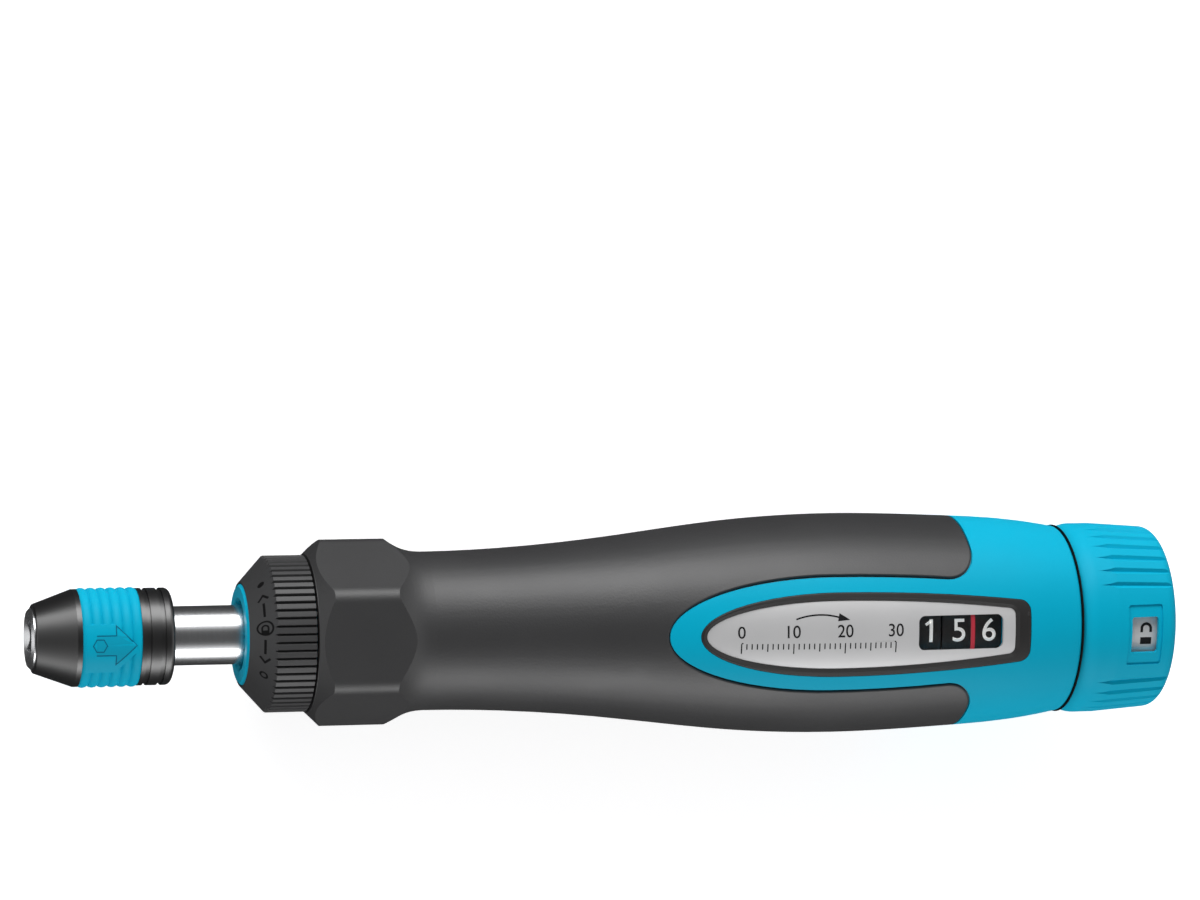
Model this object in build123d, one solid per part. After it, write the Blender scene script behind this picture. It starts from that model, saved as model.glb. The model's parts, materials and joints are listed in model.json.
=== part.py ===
from build123d import *
import math
import os

# A torque screwdriver with a quick-change bit chuck, a reversible ratchet, a ball clutch that slips at
# the set torque, and a number counter behind a window.
# Millimetres. While it is modelled the tool lies along X: x runs from the tip's face to the cap, r is
# a radius about that axis, and +Z points out of the window. At the end the whole tool is laid down on
# its belly and on the hexagon, as it rests on a bench.

# Clearances
running = 0.05          # radial, between a journal and its bore
seated = 0.02           # between pieces that are pressed or glued together
side_gap = 0.05         # axial, between faces that turn against each other
outer_gap = 0.3         # axial, between the outer pieces that turn beside each other

# Bit socket and drive shaft
bit_flats = 6.35
socket_wall = 1.225
socket_depth = 14.0
socket_cone_depth = 2.0
core_edge = 0.4
collar_length = 2.0
wheel_seat_step = 0.55
wheel_seat_flats = 6.4
wheel_width = 3.3
journal_step = 0.7
clip_groove_depth = 0.5
clip_width = 0.6
clip_inset = 0.8
clip_gap = 1.6

# Ball that holds the bit
bit_ball_r = 0.95
bit_ball_x = 7.0
bit_ball_proud = 0.02

# Chuck sleeve, pulled towards the handle to free the bit
sleeve_x = 0.6
sleeve_length = 19.6
sleeve_lip = 0.5
sleeve_tip_round = 0.3
sleeve_wall = 1.45
nose_length = 5.6
sleeve_tail = 4.8
sleeve_end_round = 0.8
sleeve_stroke = 2.5
lip_length = 1.8
recess_depth = 0.7
land_lead = 0.1
land_length = 1.5
sleeve_groove_insets = (3.8, 1.7)
sleeve_groove_width = 0.7
sleeve_groove_depth = 0.3
sleeve_ring_length = 2.7
sleeve_ring_inset = 0.65

# Ribbed band on the sleeve, with a smooth pad for the pull mark
band_inset = 0.7
band_thick = 0.6
band_valley_depth = 0.15
band_rib_height = 0.3
band_ribs = 6
pad_angle = 8.0
pad_length = 7.6
pad_half = 3.5
pad_point = 3.5

# Spring in the sleeve
spring_room = 1.1
sleeve_wire_r = 0.25
sleeve_coils = 5

# Ratchet wheel and pawls; the other radii of the ratchet and the selector follow from the wheel's
wheel_r = 5.9
tooth_height = 1.1
wheel_teeth = 24
tooth_tip_share = 0.3
tooth_gap_share = 0.16
pawl_pivot_out = 2.0
pawl_arm_out = 1.3
pawl_reach_angle = 37.5
pawl_pin_r = 0.5
pawl_boss_r = 1.05
pawl_thick = 1.6
pawl_nose_half_angle = 18.0
pawl_nose_tip = 0.1
pawl_engaged = 0.45
pawl_width = 3.0
follower_r = 0.42
follower_out = 1.6
follower_at_angle = 30.0
selector_swing = 20.0
pawl_per_selector = 0.275
leaf_thick = 0.3
leaf_width = 2.4
leaf_root_inset = 0.5
leaf_root_angle = 61.0
leaf_tip_inset = 1.12
leaf_tip_angle = 39.0

# Ratchet body, which carries the pawls in front and the clutch disc behind
front_ring_length = 3.9
drum_out = 3.6
drum_rim = 0.45
pawl_room_before = 10.0
pawl_room_after = 62.0
follower_room = 0.92
follower_room_angle = 6.0
chamber_play = 0.35
wheel_chamber_length = 3.7
wheel_inset = 0.2
drum_wall = 0.8
hub_step = 0.1
hub_wall = 1.2
hub_bore_depth = 4.0

# Front ring
shaft_shown = 10.1
front_ring_step = 0.28
front_ring_play = 0.65
front_ring_chamfer = 0.4
front_ring_notches = 12
front_ring_notch_r = 0.35
front_flange_inset = 0.9
front_flange_length = 1.1
front_spigot_wall = 0.75
front_spigot_length = 1.0

# Selector ring
selector_inset = 0.3
selector_front_wall = 0.2
selector_front_play = 0.07
selector_cone_length = 3.4
selector_wall = 1.55
selector_play = 0.2
selector_shoulder_length = 0.6
selector_tail = 0.1
knurl_count = 60
knurl_depth = 0.4
knurl_half_angle = 32.0
knurl_run_in = 0.5
cam_plate_thick = 0.75
cam_slot_inset = 0.75
cam_slot_margin = 4.0
cam_slot_points = 5
follower_play = 0.08
detent_angle = 90.0
detent_depth = 0.45
detent_nose_r = 0.7
detent_leaf_inset = 0.2
detent_leaf_half = 12.0
detent_foot_angle = 3.0
detent_pocket_depth = 1.2
detent_pocket_half = 14.0

# Handle, outside
hex_flats = 24.0
hex_corner_r = 2.5
hex_front_step = 0.6
hex_cone_step = 1.6
hex_chamfer = 2.3
hex_length = 11.3
hex_slope = 5.8
hex_back_slope = 0.75
handle_length = 113.3
belly_r = 16.1
belly_rise = [(0.1143, 0.31), (0.2744, 1.61)]                   # share of the way to the end, above the neck
belly_fall = [(0.4636, 0.84), (0.6601, 0.0), (0.816, 0.52)]     # share of the way, under the belly
handle_end_step = 2.4
handle_end_slope = 0.2
handle_end_round = 0.5
grip_thick = 1.5
core_wall = 1.45
grip_inset = 16.2
grip_edge_round = 4.2
grip_groove = 0.15
grip_groove_depth = 0.4
grip_edge_fillet = 0.25
island_inset = 4.4
island_to_widest = 24.4
island_half = 8.18
island_neck_half = 7.2

# Window, scale plate and lens
bezel_length = 49.9
bezel_to_widest = 20.5
bezel_half = 6.15
bezel_end_half = 4.4
bezel_round = 1.8
bezel_depth = 1.4
bezel_edge_fillet = 0.3
bezel_slope_width = 0.55
bezel_slope_depth = 0.35
plate_front_rim = 1.0
plate_back_rim = 2.4
plate_half = 4.93
plate_end_half = 3.25
plate_round = 1.0
plate_top = 0.4
plate_thick = 0.5
window_before = 2.1
window_behind = 1.8
plate_behind_window = 1.9
window_half = 2.52
window_round = 1.0
lens_margin = 0.35
lens_thick = 0.9
decimal_inset = 0.55
decimal_width = 0.6
decimal_thick = 0.2

# Handle, inside
front_lip = 0.4
front_wall_thick = 1.3
front_wall_play = 0.6
bush_length = 10.4
bush_wall = 2.5
tube_wall = 1.0
tube_tail = 2.0
washer_thick = 0.95
keyway_width = 2.0
keyway_depth = 0.55
keyway_count = 3

# Ball clutch: every second hollow of the disc holds a ball
disc_play = 0.1
disc_thick = 4.1
disc_spigot_gap = 0.3
clutch_ball_count = 6
clutch_hollows = 12
clutch_ball_r = 1.15
clutch_inset = 2.1
clutch_open = 0.4
clutch_ball_inset = 0.15
plate_play = 0.1
pressure_thick = 5.4
pressure_boss_inset = 0.7
pressure_boss_length = 1.5
disc_pin_r = 0.45
disc_pin_length = 2.6
disc_pins = 2

# Main spring, nut and spindle
spring_inset = 1.8
spring_wire_r = 0.6
spring_coils = 6
nut_setback = 20.0
nut_thick = 6.0
thread_r = 2.75
thread_undercut = 0.4
thread_relief = 1.0
thread_lead = 7.5
collar_inset = 0.4
spindle_collar_length = 2.0
spindle_wall = 1.5
race_thick = 1.0
race_ball_r = 1.0
race_balls = 10
bulkhead_thick = 5.0
bulkhead_clip_width = 0.9
bulkhead_clip_wall = 2.9

# Counter
counter_inset = 23.6
counter_room = 3.6
number_wheel_gap = 0.25
number_wheel_pitch = 4.6
number_wheel_rim = 4.2
wheel_play = 0.3
cavity_wall = 0.8
counter_flange = 0.8
counter_flange_play = 0.1
wheel_hex = 7.0
rear_journal_r = 3.4
number_web = 2.0
number_hub_r = 6.1
number_recess_rim = 2.2

# Rear cover, lock and cap
cover_gap = 1.025
cover_inset = 0.6
cover_web = 3.0
cover_rim = 1.6
cover_boss_r = 6.4
lock_ring_wall = 3.2
lock_ring_step = 0.2
lock_clearance = 0.2
lock_flange_thick = 1.6
lock_flange_play = 0.45
lock_screw_count = 3
lock_screw_angle = 60.0
lock_screw_r = 0.8
lock_screw_depth = 3.0
lock_screw_head_r = 1.4
lock_screw_head_length = 1.2
lock_slots = 10
lock_slot_width = 2.2
lock_slot_depth = 1.2
cap_stroke = 1.5
cap_length = 14.8
cap_step = 0.35
cap_wall = 1.4
cap_mouth_fall = 1.05
cap_end_fall = 0.7
cap_mouth_length = 2.5
cap_straight_length = 5.5
cap_round = 1.6
cap_end_wall = 1.4
cap_end_play = 0.1
cap_groups = 3
cap_first_window = 5.2
cap_window_inset = 3.1
cap_window_length = 4.2
cap_window_half = 2.68
cap_window_round = 0.4
cap_grooves = 7
cap_groove_pitch = 9.5
cap_groove_inset = 2.9
cap_groove_depth = 0.4
cap_groove_width = 1.0
cap_groove_tip = 0.1
cap_groove_tip_depth = 0.02
cap_recess_margin = 0.6
cap_recess_half = 4.5
cap_recess_depth = 0.25
dog_ring_inset = 0.3
dog_ring_length = 1.2
dog_free = 0.4
dog_width = 2.0
mark_sleeve_gap = 0.5
mark_sleeve_play = 0.3
mark_sleeve_wall = 1.0
mark_sleeve_web = 1.4
mark_boss_r = 4.9
spline_count = 3
spline_width = 2.0
spline_depth = 0.5
seat_flats = 4.8
seat_r = 2.9
seat_gap = 1.7
screw_head_r = 2.6
screw_head_length = 0.5
screw_recess = 0.6
screw_r = 1.2
screw_length = 6.0
detent_wire_r = 0.35
detent_ring_inset = 0.8

wide = 60.0             # larger than the tool, for cutting tools
overlap = 1.0           # how far a cutter runs past what it cuts
tolerance = 0.01        # for picking an edge by its size
rest_samples = 400
quarter_turn = 90
from_base = (Align.CENTER, Align.CENTER, Align.MIN)


# Places along the tool that follow from the sizes above, from the tip to the cap

sleeve_end_x = sleeve_x + sleeve_length
sleeve_ring_end_x = sleeve_end_x - sleeve_ring_inset
sleeve_ring_x = sleeve_ring_end_x - sleeve_ring_length
collar_end_x = sleeve_ring_x - side_gap
collar_x = collar_end_x - collar_length
band_x = sleeve_x + nose_length + band_inset
band_end_x = sleeve_end_x - sleeve_tail
band_rib_pitch = (band_end_x - band_x) / band_ribs
land_x = bit_ball_x + land_lead
land_end_x = land_x + land_length
front_ring_x = sleeve_end_x + shaft_shown
drum_x = front_ring_x + front_ring_length
wheel_x = drum_x + wheel_inset
wheel_end_x = wheel_x + wheel_width
drum_wall_x = drum_x + wheel_chamber_length
drum_end_x = drum_wall_x + drum_wall
pawl_x = wheel_x + (wheel_width - pawl_width) / 2
leaf_x = wheel_x + (wheel_width - leaf_width) / 2
front_flange_end_x = drum_x - side_gap
front_flange_x = front_flange_end_x - front_flange_length
selector_x = front_ring_x + selector_inset
selector_cone_end_x = selector_x + selector_cone_length
selector_shoulder_x = front_flange_x - side_gap
cam_plate_x = drum_end_x + side_gap
cam_plate_end_x = cam_plate_x + cam_plate_thick
selector_end_x = cam_plate_end_x + selector_tail

hex_front_x = selector_end_x + outer_gap
hex_chamfer_x = hex_front_x + hex_chamfer
hex_back_x = hex_front_x + hex_length
neck_x = hex_back_x + hex_slope
handle_end_x = hex_front_x + handle_length
grip_end_x = handle_end_x - grip_inset
front_wall_x = hex_front_x + front_lip
front_wall_end_x = front_wall_x + front_wall_thick
bush_end_x = front_wall_end_x + bush_length
washer_x = bush_end_x + side_gap
hub_end_x = washer_x + washer_thick
hub_bore_x = hub_end_x - hub_bore_depth
clip_x = hub_bore_x + side_gap
shaft_end_x = clip_x + clip_width + clip_inset
disc_x = hub_end_x + side_gap
disc_end_x = disc_x + disc_thick
pressure_x = disc_end_x + clutch_open
pressure_end_x = pressure_x + pressure_thick
clutch_ball_x = pressure_x + clutch_ball_inset

first_wheel_x = handle_end_x - counter_inset
number_wheel_width = number_wheel_pitch - number_wheel_gap
wheel_places = [first_wheel_x + i * number_wheel_pitch - number_wheel_width / 2 for i in range(3)]
number_wheel_end_x = wheel_places[2] + number_wheel_width
cavity_x = first_wheel_x - counter_room
counter_x = cavity_x + side_gap
counter_journal_end_x = wheel_places[1] + number_wheel_width + side_gap
bulkhead_clip_x = cavity_x - tube_tail - bulkhead_clip_width
bulkhead_end_x = bulkhead_clip_x - side_gap
bulkhead_x = bulkhead_end_x - bulkhead_thick
second_race_x = bulkhead_x - race_thick
race_ball_x = second_race_x - race_ball_r
race_x = race_ball_x - race_ball_r - race_thick
spindle_collar_end_x = race_x - side_gap
spindle_collar_x = spindle_collar_end_x - spindle_collar_length
nut_x = spindle_collar_x - nut_setback
thread_x = nut_x - thread_lead
thread_end_x = spindle_collar_x - thread_relief

window_x = first_wheel_x - window_before
window_end_x = first_wheel_x + 2 * number_wheel_pitch + window_behind
decimal_x = first_wheel_x + 1.5 * number_wheel_pitch - decimal_inset
plate_end_x = window_end_x + plate_behind_window
bezel_end_x = plate_end_x + plate_back_rim
bezel_x = bezel_end_x - bezel_length
bezel_widest_x = bezel_x + bezel_to_widest
plate_x = bezel_x + plate_front_rim
island_tip_x = bezel_x - island_inset
island_widest_x = island_tip_x + island_to_widest

cover_x = number_wheel_end_x + cover_gap
cover_end_x = handle_end_x - cover_inset
cap_x = handle_end_x + outer_gap
cap_mouth_x = cap_x + cap_mouth_length
cap_taper_x = cap_x + cap_straight_length
cap_end_x = cap_x + cap_length
cap_inner_end_x = cap_end_x - cap_end_wall
cap_window_end_x = cap_end_x - cap_window_inset
cap_window_x = cap_window_end_x - cap_window_length
cap_groove_x = cap_x + cap_groove_inset
dog_ring_x = cap_x + dog_ring_inset
dog_x = dog_ring_x + dog_ring_length
dog_height = cap_stroke + lock_clearance - dog_free
lock_flange_x = dog_x + cap_stroke + lock_clearance
lock_flange_end_x = lock_flange_x + lock_flange_thick
mark_sleeve_x = lock_flange_end_x + mark_sleeve_gap
mark_sleeve_end_x = cap_inner_end_x - screw_head_length - cap_end_play
detent_ring_x = mark_sleeve_x + detent_ring_inset
seat_x = lock_flange_end_x + seat_gap
spindle_end_x = mark_sleeve_end_x - screw_recess
spline_angle = cap_first_window + 180.0 / spline_count


# Radii that follow from the sizes above

core_r = bit_flats / 2 + socket_wall
socket_mouth_r = core_r - core_edge
bit_ball_at_r = core_r + bit_ball_proud - bit_ball_r
shaft_r = core_r - 3 * running
wheel_seat_r = shaft_r - wheel_seat_step
journal_r = wheel_seat_r - journal_step
clip_groove_r = journal_r - clip_groove_depth
recess_r = core_r + recess_depth
chamber_r = core_r + spring_room
sleeve_tip_r = core_r + sleeve_lip
sleeve_r = chamber_r + sleeve_wall
band_valley_r = sleeve_r - band_valley_depth
band_seat_r = band_valley_r - band_thick
band_top_r = band_valley_r + band_rib_height

wheel_root_r = wheel_r - tooth_height
wheel_chamber_r = wheel_r + chamber_play
pawl_pivot_r = wheel_r + pawl_pivot_out
pawl_arm_r = wheel_r + pawl_arm_out
follower_at_r = wheel_r + follower_out
drum_r = wheel_r + drum_out
leaf_root_r = drum_r - leaf_root_inset
leaf_tip_r = drum_r - leaf_tip_inset
detent_leaf_r = drum_r - detent_leaf_inset
detent_pocket_r = drum_r - detent_pocket_depth
hub_r = wheel_r + hub_step
hub_bore_r = hub_r - hub_wall
clip_r = hub_bore_r - 4 * running
front_spigot_r = wheel_chamber_r + front_spigot_wall
front_ring_r = front_spigot_r + front_ring_step
front_ring_bore_r = shaft_r + front_ring_play
front_flange_r = drum_r - front_flange_inset
selector_bore_r = front_ring_r + selector_front_play
selector_front_r = selector_bore_r + selector_front_wall
selector_shoulder_r = drum_r - cam_slot_inset
selector_inner_r = drum_r + selector_play
selector_r = selector_inner_r + selector_wall
cam_slot_outer_r = drum_r - cam_slot_inset
detent_nose_at_r = selector_inner_r + detent_depth - detent_nose_r

bore_r = hub_r + bush_wall
front_wall_bore_r = hub_r + front_wall_play
neck_r = bore_r + core_wall + grip_thick
hex_front_r = hex_flats / 2 - hex_front_step
hex_cone_r = hex_flats / 2 + hex_cone_step
tube_bore_r = bore_r - tube_wall
plate_r = tube_bore_r - plate_play
disc_r = plate_r - disc_play
disc_pin_at_r = (hub_r + hub_bore_r) / 2
clutch_pitch_r = plate_r - clutch_inset
spring_mean_r = plate_r - spring_inset
pressure_boss_r = spring_mean_r - spring_wire_r - pressure_boss_inset
collar_r = plate_r - collar_inset
spindle_r = spring_mean_r - spindle_wall
bulkhead_clip_r = bore_r - tube_wall / 2
bulkhead_clip_bore_r = bore_r - bulkhead_clip_wall

handle_end_r = belly_r - handle_end_step
cavity_r = handle_end_r - cavity_wall
number_wheel_r = cavity_r - wheel_play
journal_outer_r = number_wheel_r - number_wheel_rim
number_recess_r = number_wheel_r - number_recess_rim
counter_flange_r = cavity_r - counter_flange_play
cover_r = cavity_r - running
cap_r = handle_end_r + cap_step
cap_mouth_r = cap_r - cap_mouth_fall
cap_end_r = cap_r - cap_end_fall
cap_inner_r = cap_r - cap_wall
mark_sleeve_r = cap_inner_r - mark_sleeve_play
lock_flange_r = cap_inner_r - lock_flange_play
lock_slot_bottom_r = lock_flange_r - lock_slot_depth
lock_ring_r = lock_slot_bottom_r - lock_ring_step
lock_ring_bore_r = lock_ring_r - lock_ring_wall


# Shapes used by many pieces

def turned(*points):
    """A solid turned about the tool's axis from a closed outline of (x, r)."""
    return revolve(make_face(Polyline(*points, close=True)), Axis.X)


def tube(x0, x1, outer, inner=0.0):
    """A plain ring or disc from x0 to x1."""
    return turned((x0, inner), (x1, inner), (x1, outer), (x0, outer))


def rod(x0, x1, radius, at_r=0.0, angle=0.0):
    """A pin along the tool's axis, at_r from it. The angle turns from +Z about X."""
    pin = Pos(x0, 0, at_r) * Rot(0, 90, 0) * Cylinder(radius, x1 - x0, align=from_base)
    return Rot(angle, 0, 0) * pin


def along(x0, x1, sketch):
    """A sketch on the plane across the axis, drawn as (y, z), extruded from x0 to x1."""
    return extrude(Plane.YZ.offset(x0) * sketch, amount=x1 - x0)


def polar(radius, angle):
    """A point (y, z) across the axis. The angle turns from +Z about X."""
    a = math.radians(angle)
    return (-radius * math.sin(a), radius * math.cos(a))


def circles(solid, radius):
    """The circular edges of a turned solid that have this radius, from front to back."""
    round_edges = solid.edges().filter_by(GeomType.CIRCLE)
    return round_edges.filter_by(lambda e: abs(e.radius - radius) < tolerance).sort_by(Axis.X)


def ring_of(solid, count, first=0.0):
    """Copies of a solid spaced evenly about the tool's axis."""
    return [Rot(first + 360.0 * i / count, 0, 0) * solid for i in range(count)]


def coil(x0, x1, mean_r, wire_r, coils):
    """A compression spring with flat ends, from x0 to x1."""
    rise = (x1 - x0 - 2 * wire_r) / coils
    path = Helix(rise, rise * coils, mean_r)
    section = Plane(origin=path @ 0, z_dir=path % 0) * Circle(wire_r)
    wound = Pos(x0 + wire_r, 0, 0) * Rot(0, 90, 0) * sweep(section, path)
    return wound & tube(x0, x1, mean_r + 2 * wire_r)


# Chuck

def bit_socket():
    """The hexagonal hole for the bit, with its cone at the bottom and a lead-in at the mouth."""
    hexagon = RegularPolygon(bit_flats / 2, 6, major_radius=False)
    hole = along(0, socket_depth, hexagon)
    bottom = turned((socket_depth, 0), (socket_depth, bit_flats / 2), (socket_depth + socket_cone_depth, 0))
    lead_in = socket_mouth_r - bit_flats / 2
    mouth = turned((0, 0), (0, socket_mouth_r), (lead_in, bit_flats / 2), (lead_in, 0))
    return hole + bottom + mouth


def drive_shaft():
    shaft = turned(
        (0, 0), (0, core_r - core_edge), (core_edge, core_r),
        (collar_x, core_r), (collar_x, chamber_r - running),
        (collar_end_x, chamber_r - running), (collar_end_x, shaft_r),
        (wheel_x, shaft_r), (wheel_x, wheel_seat_r), (wheel_end_x, wheel_seat_r),
        (wheel_end_x, journal_r), (shaft_end_x, journal_r), (shaft_end_x, 0),
    )
    shaft -= bit_socket()
    shaft -= along(wheel_x, wheel_end_x, Circle(shaft_r) - Rectangle(2 * shaft_r, wheel_seat_flats))
    shaft -= tube(clip_x, clip_x + clip_width, journal_r + overlap, clip_groove_r)
    ball_hole = Pos(bit_ball_x, 0, bit_ball_at_r) * Cylinder(bit_ball_r + running, core_r, align=from_base)
    ball_seat = Pos(bit_ball_x, 0, bit_ball_at_r) * Sphere(bit_ball_r + running / 2)
    return shaft - ball_hole - ball_seat


def bit_ball():
    return Pos(bit_ball_x, 0, bit_ball_at_r) * Sphere(bit_ball_r)


def chuck_sleeve():
    lip_end_x = sleeve_x + lip_length
    cone_x = land_x - sleeve_stroke
    bore = core_r + running
    sleeve = turned(
        (sleeve_x, bore), (sleeve_x, sleeve_tip_r), (sleeve_x + nose_length, sleeve_r),
        (band_x, sleeve_r), (band_x, band_seat_r), (band_end_x, band_seat_r), (band_end_x, sleeve_r),
        (sleeve_end_x, sleeve_r), (sleeve_end_x, chamber_r), (land_end_x, chamber_r),
        (land_end_x, bore), (land_x, bore), (cone_x, recess_r), (lip_end_x, recess_r), (lip_end_x, bore),
    )
    sleeve = fillet(circles(sleeve, sleeve_r)[-1], sleeve_end_round)
    sleeve = fillet(circles(sleeve, sleeve_tip_r), sleeve_tip_round)
    for inset in sleeve_groove_insets:
        x = sleeve_end_x - inset
        sleeve -= tube(x - sleeve_groove_width / 2, x + sleeve_groove_width / 2,
                       sleeve_r + overlap, sleeve_r - sleeve_groove_depth)
    return sleeve


def chuck_band():
    """A moulded band whose ribs are low arcs. On one side they stop at a smooth pad, pointed behind."""
    edges = [Line((band_x, band_valley_r), (band_x, band_seat_r)),
             Line((band_x, band_seat_r), (band_end_x, band_seat_r)),
             Line((band_end_x, band_seat_r), (band_end_x, band_valley_r))]
    for i in range(band_ribs):
        x = band_x + i * band_rib_pitch
        edges.append(ThreePointArc((x, band_valley_r), (x + band_rib_pitch / 2, band_top_r),
                                   (x + band_rib_pitch, band_valley_r)))
    band = revolve(make_face(edges), Axis.X)
    front = (band_x + band_end_x - pad_length) / 2
    point = front + pad_length
    plan = make_face(Polyline((front, pad_half), (point - pad_point, pad_half), (point, 0),
                              (point - pad_point, -pad_half), (front, -pad_half), close=True))
    pad = extrude(plan, amount=wide) & tube(band_x, band_end_x, band_top_r, band_seat_r)
    return band + Rot(pad_angle, 0, 0) * pad


def sleeve_ring():
    return tube(sleeve_ring_x, sleeve_ring_end_x, chamber_r, shaft_r + running)


def sleeve_spring():
    mean_r = (core_r + chamber_r) / 2
    return coil(land_end_x, collar_x, mean_r, sleeve_wire_r, sleeve_coils)


# Ratchet

def ratchet_wheel():
    pitch = 360.0 / wheel_teeth
    tip = pitch * tooth_tip_share / 2
    root = pitch * (1 - tooth_gap_share) / 2
    points = []
    for i in range(wheel_teeth):
        for radius, turn in ((wheel_root_r, -root), (wheel_r, -tip), (wheel_r, tip), (wheel_root_r, root)):
            points.append(polar(radius, i * pitch + turn))
    bore = Circle(wheel_seat_r) & Rectangle(2 * wheel_seat_r, wheel_seat_flats)
    return along(wheel_x, wheel_end_x, make_face(Polyline(*points, close=True)) - bore)


def shaft_clip():
    clip = tube(clip_x, clip_x + clip_width, clip_r, clip_groove_r)
    mouth = Pos(0, -hub_bore_r) * Rectangle(clip_gap, 2 * hub_bore_r)
    return clip - along(clip_x, clip_x + clip_width, mouth)


def sector(r_in, r_out, first, last):
    """A flat ring segment across the axis, from one angle to another."""
    angles = (first, (first + last) / 2, last)
    outer = [polar(r_out, a) for a in angles]
    inner = [polar(r_in, a) for a in angles]
    return make_face([ThreePointArc(*outer), Line(outer[2], inner[2]),
                      ThreePointArc(*reversed(inner)), Line(inner[0], outer[0])])


def pawl_base(side):
    """The angle of a pawl's pivot: the second pawl is the first one's mirror image, on the far side."""
    return 0.0 if side > 0 else 180.0


def pawl(side):
    base = pawl_base(side)
    reach = base + side * pawl_reach_angle
    pivot = Vector(*polar(pawl_pivot_r, base))
    knee = Vector(*polar(pawl_arm_r, reach))
    tip_r = wheel_r - pawl_engaged
    arm = knee - pivot
    turn = math.degrees(math.atan2(arm.Y, arm.X))
    bar = Pos((pivot + knee) / 2) * Rot(0, 0, turn) * SlotCenterToCenter(arm.length, pawl_thick)
    half = pawl_nose_tip / 2 + (pawl_arm_r - tip_r) * math.tan(math.radians(pawl_nose_half_angle))
    inward = Vector(*polar(1, reach))
    across = Vector(-inward.Y, inward.X)
    point = inward * tip_r
    nose = make_face(Polyline(point + across * pawl_nose_tip / 2, knee + across * half,
                              knee - across * half, point - across * pawl_nose_tip / 2, close=True))
    shape = bar + nose + Pos(pivot) * Circle(pawl_boss_r) - Pos(pivot) * Circle(pawl_pin_r + running)
    follower_angle = base + side * follower_at_angle
    follower = rod(pawl_x, cam_plate_end_x, follower_r, follower_at_r, follower_angle)
    return along(pawl_x, pawl_x + pawl_width, shape) + follower


def pawl_pins():
    first_x = drum_x + side_gap
    pins = [rod(first_x, drum_end_x, pawl_pin_r, pawl_pivot_r, pawl_base(side)) for side in (1, -1)]
    return Compound(pins)


def pawl_springs():
    """Bent leaves that press the pawls into the wheel."""
    leaves = []
    for side in (1, -1):
        root = pawl_base(side) + side * leaf_root_angle
        tip = pawl_base(side) + side * leaf_tip_angle
        leaf = make_face(Polyline(polar(leaf_root_r, root), polar(leaf_tip_r, tip),
                                  polar(leaf_tip_r - leaf_thick, tip), polar(leaf_root_r - leaf_thick, root),
                                  close=True))
        leaves.append(along(leaf_x, leaf_x + leaf_width, leaf))
    return Compound(leaves)


def ratchet_body():
    body = turned(
        (drum_x - front_spigot_length, wheel_chamber_r), (drum_x - front_spigot_length, front_spigot_r),
        (drum_x, front_spigot_r), (drum_x, drum_r), (drum_end_x, drum_r), (drum_end_x, hub_r),
        (hub_end_x, hub_r), (hub_end_x, hub_bore_r), (hub_bore_x, hub_bore_r),
        (hub_bore_x, journal_r + running), (drum_wall_x, journal_r + running),
        (drum_wall_x, wheel_chamber_r),
    )
    for side in (1, -1):
        base = pawl_base(side)
        room = sector(wheel_chamber_r - overlap, drum_r - drum_rim,
                      base - side * pawl_room_before, base + side * pawl_room_after)
        body -= along(drum_x, drum_wall_x, room)
        window = sector(follower_at_r - follower_room, follower_at_r + follower_room,
                        base + side * (follower_at_angle - follower_room_angle),
                        base + side * (follower_at_angle + follower_room_angle))
        body -= along(drum_wall_x - overlap, drum_end_x, window)
        body -= rod(drum_wall_x, drum_end_x, pawl_pin_r, pawl_pivot_r, base)
    body -= along(drum_x, drum_wall_x, sector(detent_pocket_r, drum_r + overlap,
                                              detent_angle - detent_pocket_half,
                                              detent_angle + detent_pocket_half))
    return body - disc_drive_pins()


def front_ring():
    shoulder_x = drum_x - front_spigot_length - seated
    edge_x = front_ring_x + front_ring_chamfer
    ring = turned(
        (front_ring_x, front_ring_bore_r + front_ring_chamfer),
        (front_ring_x, front_ring_r - front_ring_chamfer), (edge_x, front_ring_r),
        (front_flange_x, front_ring_r), (front_flange_x, front_flange_r),
        (front_flange_end_x, front_flange_r), (front_flange_end_x, front_spigot_r),
        (shoulder_x, front_spigot_r), (shoulder_x, front_ring_bore_r), (edge_x, front_ring_bore_r),
    )
    notch = rod(front_ring_x, shoulder_x, front_ring_notch_r, front_ring_bore_r)
    for cut in ring_of(notch, front_ring_notches):
        ring -= cut
    return ring


# Selector

def selector_ring():
    ring = turned(
        (selector_x, selector_bore_r), (selector_x, selector_front_r),
        (selector_cone_end_x, selector_r), (selector_end_x, selector_r),
        (selector_end_x, selector_inner_r),
        (selector_shoulder_x + selector_shoulder_length, selector_inner_r),
        (selector_shoulder_x, selector_shoulder_r), (selector_shoulder_x, selector_bore_r),
    )
    half = (knurl_depth + knurl_run_in) * math.tan(math.radians(knurl_half_angle))
    bottom = selector_r - knurl_depth
    groove = make_face(Polyline((0, bottom), (half, selector_r + knurl_run_in),
                                (-half, selector_r + knurl_run_in), close=True))
    cut = along(selector_shoulder_x, selector_end_x, groove)
    ring -= Compound(ring_of(cut, knurl_count))
    for stop in (-selector_swing, 0, selector_swing):
        ring -= rod(drum_x, selector_end_x, detent_nose_r, detent_nose_at_r, detent_angle + stop)
    return ring


def follower_in_ring(side, turn):
    """Where a pawl's follower is, as (y, z) in the selector ring, when the ring has turned."""
    base = pawl_base(side)
    pivot = Vector(*polar(pawl_pivot_r, base))
    start = Vector(*polar(follower_at_r, base + side * follower_at_angle))
    swung = pivot + (start - pivot).rotate(Axis.Z, -pawl_per_selector * turn)
    return swung.rotate(Axis.Z, -turn)


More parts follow.
